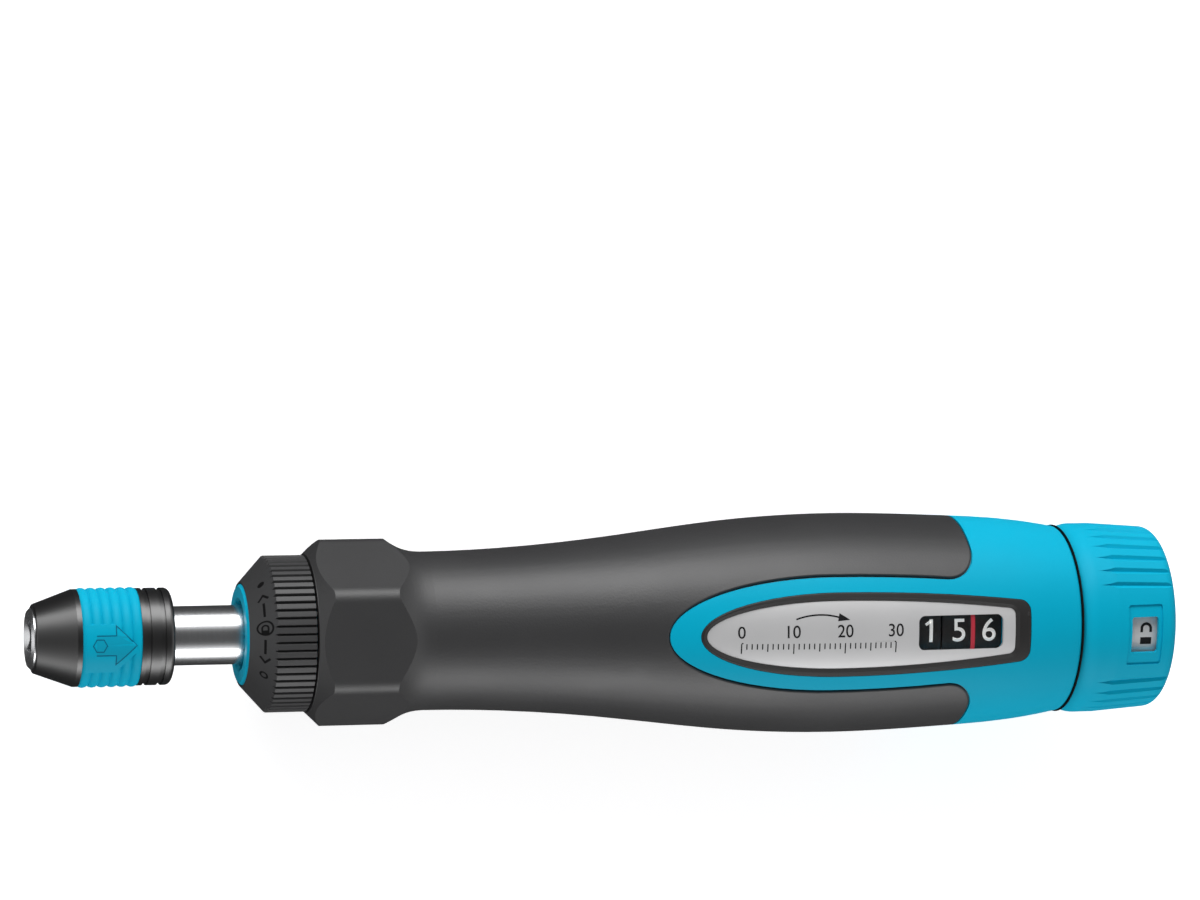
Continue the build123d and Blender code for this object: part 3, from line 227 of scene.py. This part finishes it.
def own_place(tree):
    """Where a point lies in the object's own coordinates, in metres."""
    return tree.nodes.new("ShaderNodeTexCoord").outputs["Object"]


def noise(tree, cells_per_mm, detail, roughness=0.5):
    """A noise on the object's own coordinates, whose cells per millimetre come from a socket."""
    texture = tree.nodes.new("ShaderNodeTexNoise")
    texture.inputs["Detail"].default_value = detail
    texture.inputs["Roughness"].default_value = roughness
    scale = result(tree, "Math", "MULTIPLY", cells_per_mm, 1 / mm)
    wire(tree, (scale, texture.inputs["Scale"]), (own_place(tree), texture.inputs["Vector"]))
    return texture.outputs["Fac"]


def grain_group():
    """Moulded grain: fine height for the bump and a slow patchy roughness."""
    group, start, end = new_group(
        "Moulded grain",
        (("Grain per mm", 5.0), ("Patches per mm", 0.06), ("Roughness low", 0.4), ("Roughness high", 0.5)),
        (("Height", "NodeSocketFloat"), ("Roughness", "NodeSocketFloat")))
    fine = noise(group, start.outputs["Grain per mm"], detail=3.0, roughness=0.6)
    slow = noise(group, start.outputs["Patches per mm"], detail=2.0)
    rough = ranged(group, slow, to_low=start.outputs["Roughness low"],
                   to_high=start.outputs["Roughness high"])
    wire(group, (fine, end.inputs["Height"]), (rough, end.inputs["Roughness"]))
    return group


def turning_group():
    """Turning marks: rings about the tool's axis, from a noise that changes only along it."""
    group, start, end = new_group(
        "Turning marks",
        (("Rings per mm", 6.0), ("Roughness low", 0.1), ("Roughness high", 0.2)),
        (("Height", "NodeSocketFloat"), ("Roughness", "NodeSocketFloat")))
    along_axis = result(group, "VectorMath", "DOT_PRODUCT", own_place(group), along)
    rings = group.nodes.new("ShaderNodeTexNoise")
    rings.noise_dimensions = "1D"
    rings.inputs["Detail"].default_value = 4.0
    height = rings.outputs["Fac"]
    rough = ranged(group, height, to_low=start.outputs["Roughness low"],
                   to_high=start.outputs["Roughness high"])
    wire(group, (result(group, "Math", "MULTIPLY", along_axis, 1 / mm), rings.inputs["W"]),
         (start.outputs["Rings per mm"], rings.inputs["Scale"]),
         (height, end.inputs["Height"]), (rough, end.inputs["Roughness"]))
    return group


def groove_group():
    """A mask of a knurled ring for its painted groove shade: 0 at the bottom of its grooves, 1 on its lands and
    in front of them.
    """
    group, start, end = new_group(
        "Knurl groove shade mask", (("First x", 0.0), ("Land radius", 10.0), ("Groove depth", 0.4)),
        (("Land", "NodeSocketFloat"),))
    from_tip = result(group, "VectorMath", "SUBTRACT", own_place(group), tip, gives="Vector")
    in_mm = result(group, "VectorMath", "MULTIPLY", from_tip, [1 / mm] * 3, gives="Vector")
    x = result(group, "VectorMath", "DOT_PRODUCT", in_mm, along)
    off_axis = result(group, "VectorMath", "CROSS_PRODUCT", in_mm, along, gives="Vector")
    radius = result(group, "VectorMath", "LENGTH", off_axis)
    land_radius = start.outputs["Land radius"]
    bottom = result(group, "Math", "SUBTRACT", land_radius, start.outputs["Groove depth"])
    land = ranged(group, radius, from_low=bottom, from_high=land_radius)
    in_front = result(group, "Math", "LESS_THAN", x, start.outputs["First x"])
    wire(group, (result(group, "Math", "MAXIMUM", land, in_front), end.inputs["Land"]))
    return group


def tint_group():
    """A colour that wanders a little towards a darker and a lighter shade of itself."""
    group, start, end = new_group("Colour drift", (("Amount", 0.05), ("Patches per mm", 0.1)),
                                  (("Color", "NodeSocketColor"),))
    colour = group.interface.new_socket("Color", in_out="INPUT", socket_type="NodeSocketColor")
    colour.default_value = (0.5, 0.5, 0.5, 1)
    slow = noise(group, start.outputs["Patches per mm"], detail=4.0)
    darker = result(group, "Math", "SUBTRACT", 1.0, start.outputs["Amount"])
    lighter = result(group, "Math", "ADD", 1.0, start.outputs["Amount"])
    level = ranged(group, slow, to_low=darker, to_high=lighter)
    shade = result(group, "VectorMath", "MULTIPLY", start.outputs["Color"], level, gives="Vector")
    wire(group, (shade, end.inputs["Color"]))
    return group


groups = {}     # the groups above, once finishes() has made them


def effect(tree, name, **values):
    """A shared effect placed in a material, with its own values."""
    node = tree.nodes.new("ShaderNodeGroup")
    node.node_tree = groups[name]
    for label, value in values.items():
        node.inputs[label.replace("_", " ")].default_value = value
    return node


def blank_material(name, **sockets):
    """A new material with some values of its surface set."""
    material = bpy.data.materials.new(name)
    material.use_nodes = True
    tree = material.node_tree
    surface = tree.nodes["Principled BSDF"]
    for label, value in sockets.items():
        surface.inputs[label.replace("_", " ")].default_value = value
    return material, tree, surface


def bumped(tree, surface, height, strength, distance_mm):
    """Gives a surface a bump from a height between 0 and 1."""
    bump = tree.nodes.new("ShaderNodeBump")
    bump.inputs["Strength"].default_value = strength
    bump.inputs["Distance"].default_value = distance_mm * mm
    wire(tree, (height, bump.inputs["Height"]), (bump.outputs["Normal"], surface.inputs["Normal"]))


def moulded(name, colour, rough, grain_per_mm=4.0, bump=0.2, depth=0.02, drift=0.04, **sockets):
    """A moulded plastic or rubber."""
    material, tree, surface = blank_material(name, **sockets)
    grain = effect(tree, "grain", Grain_per_mm=grain_per_mm, Roughness_low=rough[0], Roughness_high=rough[1])
    tint = effect(tree, "tint", Amount=drift, Color=colour)
    wire(tree, (tint.outputs["Color"], surface.inputs["Base Color"]),
         (grain.outputs["Roughness"], surface.inputs["Roughness"]))
    bumped(tree, surface, grain.outputs["Height"], bump, depth)
    return material


def darken_grooves(material, ring, colour, depth):
    """Paints shade into the grooves of a knurled ring: a darker colour towards their bottoms, where shade
    falls.
    """
    spots = [(v.co - tip) / mm for v in ring.data.vertices]
    reaches = [(spot.dot(along), spot.cross(along).length) for spot in spots]
    land_radius = max(r for x, r in reaches)
    first_x = min(x for x, r in reaches if r > land_radius - depth / 10)
    tree = material.node_tree
    base = tree.nodes["Principled BSDF"].inputs["Base Color"]
    lands = effect(tree, "grooves", First_x=first_x, Land_radius=land_radius, Groove_depth=depth)
    feed(base, mixed(tree, lands.outputs["Land"], tuple(colour), base.links[0].from_socket, "Color"))


def turned_metal(name, colour, rough, rings_per_mm=5.0, bump=0.1, depth=0.01, **sockets):
    """A turned or ground metal."""
    material, tree, surface = blank_material(name, **{"Metallic": 1.0, **sockets})
    rings = effect(tree, "turning", Rings_per_mm=rings_per_mm, Roughness_low=rough[0], Roughness_high=rough[1])
    tint = effect(tree, "tint", Amount=0.05, Color=colour)
    wire(tree, (tint.outputs["Color"], surface.inputs["Base Color"]),
         (rings.outputs["Roughness"], surface.inputs["Roughness"]))
    bumped(tree, surface, rings.outputs["Height"], bump, depth)
    return material


def finishes(colours):
    """Every finish of the tool by the name of its slot in the record."""
    groups.update(grain=grain_group(), turning=turning_group(), tint=tint_group(), grooves=groove_group())
    made = {
        "aqua_plastic": moulded("Aqua shell", colours.shell, rough=(0.42, 0.52), grain_per_mm=3.0,
                                bump=0.1, depth=0.01, Specular_IOR_Level=0.08),
        "grip_rubber": moulded("Soft grip rubber", colours.grip, rough=(0.42, 0.54), grain_per_mm=3.2,
                               bump=0.45, depth=0.05, drift=0.08, Specular_IOR_Level=0.5),
        "black_plastic": moulded("Black satin plastic", colours.chuck, rough=(0.3, 0.38),
                                 bump=0.1, depth=0.01, Specular_IOR_Level=0.8),
        "frame_plastic": moulded("Window frame plastic", colours.frame, rough=(0.45, 0.55),
                                 bump=0.15, depth=0.015, Specular_IOR_Level=0.3),
        "selector_plastic": moulded("Selector plastic", colours.selector, rough=(0.45, 0.55),
                                    bump=0.3, depth=0.03, Specular_IOR_Level=0.45),
        "wheel_plastic": moulded("Number wheel plastic", colours.wheel, rough=(0.45, 0.6), grain_per_mm=5.0,
                                 bump=0.1, depth=0.01),
        "white_plastic": moulded("Frame plastic", linear(205, 205, 200), rough=(0.4, 0.5)),
        "red_print": moulded("Red line", colours.red, rough=(0.35, 0.45), grain_per_mm=5.0,
                             bump=0.05, depth=0.01),
        "silver_plate": turned_metal("Silver plate", colours.plate, rough=(0.38, 0.5), rings_per_mm=8.0,
                                     bump=0.05, Metallic=0.5),
        "aluminium": turned_metal("Turned aluminium", linear(188, 190, 192), rough=(0.25, 0.4)),
        "chrome": turned_metal("Polished chrome", linear(204, 205, 207), rough=(0.2, 0.28), rings_per_mm=3.0,
                               bump=0.02),
        "steel": turned_metal("Ground steel", linear(160, 160, 160), rough=(0.25, 0.4)),
        "dark_steel": turned_metal("Oiled steel", linear(80, 80, 82), rough=(0.3, 0.45)),
        "bronze": turned_metal("Sintered bronze", linear(176, 128, 70), rough=(0.4, 0.55)),
        "brass": turned_metal("Turned brass", linear(190, 160, 92), rough=(0.2, 0.35)),
    }
    # The arrow's edge and floor colours made here are painted shade of a cut that the band does not have
    for name in ("white_ink", "black_ink", "mark", "arrow_mark", "arrow_floor"):
        made[name] = moulded(name.replace("_", " ").capitalize(), getattr(colours, name), rough=(0.6, 0.7),
                             grain_per_mm=6.0, bump=0.05, depth=0.005, Specular_IOR_Level=0.1)
    # Painted shade: the knurl's grooves get the marks' near-black colour towards their bottoms
    darken_grooves(made["selector_plastic"], frame["nodes"]["selector_ring"], colours.mark, depth=0.4)
    # Painted light: the numbers' ink glows a little, as the window's depth keeps most of the room's light off
    # the wheels
    numbers = made["white_ink"].node_tree.nodes["Principled BSDF"]
    numbers.inputs["Emission Color"].default_value = colours.white_ink
    numbers.inputs["Emission Strength"].default_value = 0.5
    lens, tree, surface = blank_material("Clear window", Alpha=0.07, IOR=1.49, Base_Color=linear(18, 18, 20))
    haze = effect(tree, "grain", Grain_per_mm=0.5, Roughness_low=0.02, Roughness_high=0.06)
    wire(tree, (haze.outputs["Roughness"], surface.inputs["Roughness"]))
    made["lens"] = lens
    return made


def paint(piece, material):
    piece.data.materials.clear()
    piece.data.materials.append(material)


# Marks: drawn flat in millimetres, with +X along the tool and +Y round it, and then laid on a piece

def filled(curve):
    """The faces of a text or of flat outlines as a drawing."""
    holder = bpy.data.objects.new(curve.name, curve)
    bpy.context.scene.collection.objects.link(holder)
    bpy.context.view_layer.update()
    mesh = bpy.data.meshes.new_from_object(holder)
    drawn = bmesh.new()
    drawn.from_mesh(mesh)
    bpy.data.objects.remove(holder)
    bpy.data.curves.remove(curve)
    bpy.data.meshes.remove(mesh)
    return drawn


def number(text, height, weight=0.004):
    """A number, centred and of the height given; the weight thickens the font's strokes."""
    curve = bpy.data.curves.new("number", "FONT")
    curve.body = text
    curve.offset = weight
    drawn = filled(curve)
    low, high = ([pick(v.co[i] for v in drawn.verts) for i in (0, 1)] for pick in (min, max))
    middle = Vector(((low[0] + high[0]) / 2, (low[1] + high[1]) / 2, 0))
    for v in drawn.verts:
        v.co = (v.co - middle) * height / (high[1] - low[1])
    return drawn


def moved(drawn, x, y):
    bmesh.ops.translate(drawn, vec=(x, y, 0), verts=drawn.verts)
    return drawn


def digit(value, height):
    """A number from 0 to 9 for a wheel. The 1 gets a flag, which the font's has not."""
    drawn = number(str(value), height)
    if value == 1:
        flag_top, flag_end, reach, width, shift = (share * height for share in (0.43, 0.26, 0.25, 0.12, 0.1))
        drawn = moved(joined(drawn, line([(0, flag_top), (-reach, flag_end)], width)), shift, 0)
    return drawn


def shape(*loops):
    """A flat shape from its outline and the outlines of its holes."""
    curve = bpy.data.curves.new("outline", "CURVE")
    curve.dimensions = "2D"
    curve.fill_mode = "BOTH"
    for loop in loops:
        spline = curve.splines.new("POLY")
        spline.points.add(len(loop) - 1)
        for point, (x, y) in zip(spline.points, loop):
            point.co = (x, y, 0, 1)
        spline.use_cyclic_u = True
    return filled(curve)


def arc(radius, start, end, x=0.0, y=0.0, step=10.0):
    """Points on an arc between two angles in degrees, both ends among them."""
    count = round(abs(end - start) / step)
    angles = [math.radians(start + (end - start) * i / count) for i in range(count + 1)]
    return [(x + radius * math.cos(a), y + radius * math.sin(a)) for a in angles]


def around(radius, x=0.0, y=0.0, sides=32):
    """The corners of a regular outline about a point."""
    return arc(radius, 0, 360, x, y, 360 / sides)[:-1]


def beside(points, by, closed=False):
    """A line that runs beside another at a distance."""
    shifted = []
    for i, (x, y) in enumerate(points):
        sides = []
        for first, second in ((i - 1, i), (i, i + 1)):
            if closed or (first >= 0 and second < len(points)):
                run = Vector(points[second % len(points)]) - Vector(points[first])
                sides.append(Vector((-run.y, run.x)).normalized())
        middle = sum(sides, Vector((0, 0)))
        shifted.append(tuple(Vector((x, y)) + middle * by * len(sides) / middle.length_squared))
    return shifted


def line(points, width):
    """An open line of even width."""
    return shape(beside(points, width / 2) + beside(points, -width / 2)[::-1])


def outline(points, width):
    """A closed line of even width."""
    return shape(beside(points, width / 2, True), beside(points, -width / 2, True))


def joined(*drawings):
    """Several drawings as one."""
    whole = bmesh.new()
    mesh = bpy.data.meshes.new("drawing")
    for drawn in drawings:
        drawn.to_mesh(mesh)
        drawn.free()
        whole.from_mesh(mesh)
    bpy.data.meshes.remove(mesh)
    return whole


def surface_radius(node, x, angle):
    """How far a piece reaches from the tool's axis at a place along it and an angle about it."""
    to_piece = node.matrix_world.inverted()
    start = to_piece @ round_point(x, outside_r, angle)
    hit, place, _, _ = node.ray_cast(start, to_piece @ round_point(x, 0, angle) - start)
    if not hit:
        raise ValueError(f"no surface of {node.name} at x {x} and angle {angle}")
    return ((node.matrix_world @ place) - tool_point(x, 0, 0)).length / mm


def laid_on(node, drawn, x, angle, proud, strip=0.2):
    """Cuts a drawing into strips, wraps it round the tool on a piece's surface and gives it a thickness."""
    middle_r = surface_radius(node, x, angle)
    low, high = (pick(v.co.y for v in drawn.verts) for pick in (min, max))
    cuts = int((high - low) / strip)
    for i in range(1, cuts + 1):
        bmesh.ops.bisect_plane(drawn, geom=drawn.verts[:] + drawn.edges[:] + drawn.faces[:],
                               plane_co=(0, low + (high - low) * i / (cuts + 1), 0), plane_no=(0, 1, 0))
    bottom = list(drawn.verts)
    raised = bmesh.ops.extrude_face_region(drawn, geom=drawn.faces[:])["geom"]
    top = [v for v in raised if isinstance(v, bmesh.types.BMVert)]
    for verts, above in ((bottom, -proud), (top, proud)):
        for v in verts:
            at, turned = x + v.co.x, angle - math.degrees(v.co.y / middle_r)
            v.co = round_point(at, surface_radius(node, at, turned) + above, turned)
    bmesh.ops.recalc_face_normals(drawn, faces=drawn.faces)
    return drawn


def placed(name, drawn, material):
    """A drawing as a painted piece of the scene."""
    mesh = bpy.data.meshes.new(name)
    drawn.to_mesh(mesh)
    drawn.free()
    piece = bpy.data.objects.new(name, mesh)
    bpy.context.scene.collection.objects.link(piece)
    paint(piece, material)
    return piece


def finished(name, drawn, material, body):
    """A drawing as a painted piece of the scene that rides on a body."""
    piece = placed(name, drawn, material)
    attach(piece, body)


materials = {}      # every finish by its name, once the first operator has run


class ScrewdriverOperator(bpy.types.Operator):
    """What the operators below share"""
    bl_options = {"REGISTER", "UNDO"}

    @classmethod
    def poll(cls, context):
        return context.scene is not None


class SCREWDRIVER_OT_finishes(ScrewdriverOperator):
    """Gives every piece of the tool its finish"""
    bl_idname = "screwdriver.finishes"
    bl_label = "Finishes"

    def execute(self, context):
        materials.update(finishes(context.scene.finish_colours))
        slots = {part["node"]: part["material_slot"] for part in frame["record"]["subparts"]}
        slots["window_bezel"] = "frame_plastic"
        for name, node in frame["nodes"].items():
            paint(node, materials[slots[name]])
        return {"FINISHED"}


class SCREWDRIVER_OT_numbers(ScrewdriverOperator):
    """Prints the numbers on the three wheels behind the window"""
    bl_idname = "screwdriver.numbers"
    bl_label = "Numbers"

    def execute(self, context):
        sizes = context.scene.mark_sizes
        wheels = (("tens", "tens", 1), ("ones", "ones", 5), ("tenths", "setting", 6))
        for i, (name, body, shown) in enumerate(wheels):
            wheel = frame["nodes"][f"{name}_wheel"]
            x = first_wheel_x + i * wheel_pitch
            printed = [laid_on(wheel, digit((shown + step) % wheel_numbers, sizes.number_height), x,
                               360 / wheel_numbers * step, sizes.ink) for step in range(wheel_numbers)]
            finished(f"{name}_numbers", joined(*printed), materials["white_ink"], body)
        return {"FINISHED"}


class SCREWDRIVER_OT_scale(ScrewdriverOperator):
    """Prints a plain scale with a turning arrow on the plate beside the window"""
    bl_idname = "screwdriver.scale"
    bl_label = "Scale on the plate"

    def execute(self, context):
        sizes = context.scene.mark_sizes
        step = sizes.scale_length / scale_top
        half_line = sizes.scale_line / 2
        long_tick, middle_tick, short_tick = (sizes.scale_tick * share for share in (1.8, 1.4, 1))
        drawings = [line([(0, 0), (sizes.scale_length, 0)], sizes.scale_line)]
        for i in range(scale_top + 1):
            tick = long_tick if i % 10 == 0 else middle_tick if i % 5 == 0 else short_tick
            drawings.append(line([(i * step, -half_line), (i * step, -half_line - tick)], sizes.scale_line))
        number_y, arrow_y = (share * sizes.scale_number for share in (0.9, 2.2))
        for i in range(0, scale_top + 1, 10):
            drawings.append(moved(number(str(i), sizes.scale_number), i * step, number_y))
        drawings.append(self.turning_arrow(sizes, sizes.scale_length / 2, arrow_y))
        whole = moved(joined(*drawings), 0, -sizes.scale_drop)
        printed = laid_on(frame["nodes"]["scale_plate"], whole, scale_x, 0, sizes.ink)
        finished("plate_scale", printed, materials["black_ink"], "handle")
        return {"FINISHED"}

    def turning_arrow(self, sizes, x, y):
        """A bow that ends in a head, with its highest point at x and y."""
        half, radius = sizes.turn_arrow / 2, 1.6 * sizes.turn_arrow
        reach = math.degrees(math.asin(half / radius))
        bow_start, bow_end = 90 + reach, 90 - 0.8 * reach
        bow = arc(radius, bow_start, bow_end, x, y - radius, step=3)
        head = Vector(bow[-1])
        ahead = (head - Vector(bow[-2])).normalized()
        aside = Vector((-ahead.y, ahead.x))
        long, wide = 2.2 * sizes.scale_tick, 0.7 * sizes.scale_tick
        point = shape([tuple(head + aside * wide), tuple(head - aside * wide), tuple(head + ahead * long)])
        return joined(line(bow, 1.3 * sizes.scale_line), point)


class SCREWDRIVER_OT_selector_marks(ScrewdriverOperator):
    """Cuts the lock sign, the two arrows and a dot and a ring into the selector's cone, on both its sides"""
    bl_idname = "screwdriver.selector_marks"
    bl_label = "Selector marks"

    def execute(self, context):
        sizes = context.scene.mark_sizes
        cuts = []
        for side in (0, 180):
            lock_angle = lock_mark_angle + side
            sign = joined(outline(around(sizes.lock_circle), sizes.cut_width), padlock(scale=0.55, lift=0.0))
            cuts.append(self.cut(sign, lock_angle, sizes))
            for turn in (1, -1):
                cuts.append(self.cut(self.arrow(turn, sizes), lock_angle - turn * arrow_from_lock, sizes))
                dot = shape(around(sizes.dot)) if turn > 0 else outline(around(sizes.dot), sizes.cut_width)
                cuts.append(self.cut(dot, lock_angle - turn * dot_from_lock, sizes))
        finished("selector_marks", joined(*cuts), materials["mark"], "selector")
        return {"FINISHED"}

    def cut(self, drawn, angle, sizes):
        return laid_on(frame["nodes"]["selector_ring"], drawn, selector_marks_x, angle, sizes.cut)

    def arrow(self, turn, sizes):
        """An arrow that points one way round the tool, or the other."""
        tail, neck, barb, point, half = -1.7, 0.35, 0.85, 1.6, 0.62
        shaft_width, head_width = (share * sizes.cut_width for share in (1.3, 1.2))
        return joined(line([(0, turn * tail), (0, turn * neck)], shaft_width),
                      line([(-half, turn * barb), (0, turn * point), (half, turn * barb)], head_width))


def padlock(scale, lift):
    """A padlock sign with its bow towards +Y, the bow lifted off its body by some millimetres."""
    bow_r, bow_width, body_half, body_height, leg = 0.7, 0.4, 0.86, 1.04, 0.56
    body_top = -0.55
    body_bottom = body_top - body_height
    foot = body_top + lift
    bow = [(-bow_r, foot)] + arc(bow_r, 180, 0, 0, foot + leg) + [(bow_r, foot)]
    body = shape([(-body_half, body_bottom), (body_half, body_bottom), (body_half, body_top),
                  (-body_half, body_top)])
    sign = joined(body, line(bow, bow_width))
    bmesh.ops.scale(sign, vec=(scale, scale, scale), verts=sign.verts)
    return sign


class SCREWDRIVER_OT_lock_signs(ScrewdriverOperator):
    """Prints an open padlock on the sleeve behind each of the cap's windows"""
    bl_idname = "screwdriver.lock_signs"
    bl_label = "Lock signs"

    def execute(self, context):
        sleeve = frame["nodes"]["mark_sleeve"]
        angles = [cap_window_angle + 360 / cap_windows * window for window in range(cap_windows)]
        signs = [laid_on(sleeve, padlock(scale=1.0, lift=0.76), cap_window_middle_x, angle,
                         context.scene.mark_sizes.ink) for angle in angles]
        finished("lock_signs", joined(*signs), materials["black_ink"], "setting")
        return {"FINISHED"}


class SCREWDRIVER_OT_gap_seal(ScrewdriverOperator):
    """Lays a black ring into the gap between the handle and the cap, so the gap shows as a dark line"""
    bl_idname = "screwdriver.gap_seal"
    bl_label = "Seal at the cap"

    def execute(self, context):
        sizes = context.scene.mark_sizes
        half_width, half_height = sizes.seal_width / 2, sizes.seal_height / 2
        section = [(gap_ring_x + half_width * x, sizes.seal_radius - half_height + half_height * y)
                   for x, y in around(1.0, sides=12)]
        gap_ring = bmesh.new()
        rings = [[gap_ring.verts.new(round_point(x, r, angle)) for x, r in section] for angle in range(0, 360, 3)]
        for first, second in zip(rings, rings[1:] + rings[:1]):
            for i in range(len(section)):
                gap_ring.faces.new((first[i - 1], first[i], second[i], second[i - 1])).smooth = True
        bmesh.ops.recalc_face_normals(gap_ring, faces=gap_ring.faces)
        finished("gap_seal", gap_ring, materials["mark"], "handle")
        return {"FINISHED"}


class SCREWDRIVER_OT_pull_arrow(ScrewdriverOperator):
    """Lays the arrow that shows which way the sleeve is pulled, with a hexagon at its tail, as painted shade of
    a cut: a darker floor and a dark edge on the band, which is itself not cut
    """
    bl_idname = "screwdriver.pull_arrow"
    bl_label = "Pull arrow"

    def execute(self, context):
        sizes = context.scene.mark_sizes
        band = frame["nodes"]["chuck_band"]
        head, half, shaft = sizes.arrow_head, sizes.arrow_half, sizes.arrow_shaft_half
        tail = -sizes.arrow_length
        arrow = [(tail, shaft), (-head, shaft), (-head, half), (0, 0), (-head, -half), (-head, -shaft),
                 (tail, -shaft)]
        hexagon = around(sizes.arrow_hexagon, tail + sizes.arrow_hexagon / 2, sides=6)
        # Painted shade: the arrow's floor is a darker copy of the band's colour, for the shade at the bottom of
        # a cut
        floor = laid_on(band, shape(arrow), pull_arrow_x, pull_arrow_angle, sizes.cut / 2)
        finished("pull_arrow_floor_shade", floor, materials["arrow_floor"], "sleeve")
        # Painted shade: the dark edge stands for the shade on the walls of the cut
        edges = joined(line(arrow, sizes.arrow_width), outline(hexagon, sizes.arrow_width))
        edge = laid_on(band, edges, pull_arrow_x, pull_arrow_angle, sizes.cut)
        finished("pull_arrow_edge_shade", edge, materials["arrow_mark"], "sleeve")
        return {"FINISHED"}


class SCREWDRIVER_OT_stage(ScrewdriverOperator):
    """Sets the photo table, the lights and the camera"""
    bl_idname = "screwdriver.stage"
    bl_label = "Photo table"

    def execute(self, context):
        sizes = context.scene.stage_sizes
        self.floor(context, sizes)
        self.room(context, sizes)
        self.lamp(context, "Key", sizes.key_power, place=(-0.05, 0.50, 0.24), size=(0.60, 0.36))
        self.lamp(context, "Fill", sizes.fill_power, place=(0.0, -0.48, 0.24), size=(0.60, 0.24))
        self.camera(context, sizes)
        context.scene.view_settings.view_transform = "Standard"
        return {"FINISHED"}

    def floor(self, context, sizes):
        """A table that the camera sees nearly white, and that gives less light back to the tool."""
        half = sizes.floor_size / 2
        table = shape([(-half, -half), (half, -half), (half, half), (-half, half)])
        material, tree, surface = blank_material("Photo table", Roughness=0.8, Specular_IOR_Level=0.1,
                                                 Emission_Color=(1, 1, 1, 1))
        tint = effect(tree, "tint", Amount=0.004, Patches_per_mm=0.004,
                      Color=context.scene.finish_colours.floor)
        path = tree.nodes.new("ShaderNodeLightPath")
        seen = path.outputs["Is Camera Ray"]
        given_back = mixed(tree, path.outputs["Is Glossy Ray"], sizes.bounce, sizes.mirrored)
        feed(surface.inputs["Base Color"], mixed(tree, seen, given_back, tint.outputs["Color"], "Color"))
        feed(surface.inputs["Emission Strength"], result(tree, "Math", "MULTIPLY", seen, sizes.floor_glow))
        placed("Photo table", table, material)

    def room(self, context, sizes):
        """A room that lights more from the sides than from above, with a bright band where it is mirrored."""
        world = bpy.data.worlds.new("Pale room")
        context.scene.world = world
        world.use_nodes = True
        tree = world.node_tree
        back = tree.nodes["Background"]
        parts = tree.nodes.new("ShaderNodeSeparateXYZ")
        path = tree.nodes.new("ShaderNodeLightPath")
        feed(parts.inputs[0], tree.nodes.new("ShaderNodeTexCoord").outputs["Generated"])
        height = parts.outputs["Z"]
        from_sides, from_above = (sizes.sky * share for share in (1.2, 0.3))
        lit = ranged(tree, height, from_low=0.3, from_high=0.95, to_low=from_sides, to_high=from_above)
        band = ranged(tree, height, from_low=0.55, from_high=0.9, to_low=sizes.mirror_sky,
                      to_high=sizes.mirror_top)
        level = mixed(tree, path.outputs["Is Glossy Ray"], lit, band)
        feed(back.inputs["Strength"], mixed(tree, path.outputs["Is Camera Ray"], level, 1.0))
        back.inputs["Color"].default_value = (1, 1, 1, 1)

    def lamp(self, context, name, power, place, size):
        """A soft box that points at the middle of the tool."""
        light = bpy.data.lights.new(name, "AREA")
        light.shape = "RECTANGLE"
        light.size, light.size_y = size
        light.energy = power
        holder = bpy.data.objects.new(name, light)
        context.scene.collection.objects.link(holder)
        holder.location = place
        holder.rotation_euler = (tool_point(middle_x, 0, 0) - Vector(place)).to_track_quat("-Z", "Y").to_euler()

    def camera(self, context, sizes):
        """The camera as it stood to the tool in the photo's lower view."""
        place = Vector((-0.22945, 0.08975, 0.73120))
        forward = Vector((0.30270, -0.08458, -0.94932)).normalized()
        picture_up = Vector((-0.01035, 1, 0))
        right = forward.cross(picture_up).normalized()
        up = right.cross(forward)
        lens = bpy.data.cameras.new("Camera")
        lens.lens = sizes.lens_mm
        lens.clip_start = 0.01
        holder = bpy.data.objects.new("Camera", lens)
        context.scene.collection.objects.link(holder)
        turn = Matrix((right, up, -forward)).transposed()
        holder.matrix_world = Matrix.Translation(place) @ turn.to_4x4()
        context.scene.camera = holder


class SCREWDRIVER_PT_panel(bpy.types.Panel):
    bl_label = "Screwdriver"
    bl_space_type = "VIEW_3D"
    bl_region_type = "UI"
    bl_category = "Screwdriver"

    def draw(self, context):
        for operator in operators:
            self.layout.operator(operator.bl_idname)
        for settings in (context.scene.finish_colours, context.scene.mark_sizes, context.scene.stage_sizes):
            box = self.layout.box()
            for name in settings.__annotations__:
                box.prop(settings, name)


settings = {"finish_colours": FinishColours, "mark_sizes": MarkSizes, "stage_sizes": StageSizes}
operators = (SCREWDRIVER_OT_finishes, SCREWDRIVER_OT_numbers, SCREWDRIVER_OT_scale,
             SCREWDRIVER_OT_selector_marks, SCREWDRIVER_OT_lock_signs, SCREWDRIVER_OT_pull_arrow,
             SCREWDRIVER_OT_gap_seal, SCREWDRIVER_OT_stage)


def register():
    for cls in (*settings.values(), *operators, SCREWDRIVER_PT_panel):
        bpy.utils.register_class(cls)
    for name, cls in settings.items():
        setattr(bpy.types.Scene, name, PointerProperty(type=cls))


def unregister():
    for name in settings:
        delattr(bpy.types.Scene, name)
    for cls in reversed((*settings.values(), *operators, SCREWDRIVER_PT_panel)):
        bpy.utils.unregister_class(cls)


def main():
    register()
    for operator in operators:
        group, name = operator.bl_idname.split(".")
        getattr(getattr(bpy.ops, group), name)()


if __name__ == "__main__":
    main()
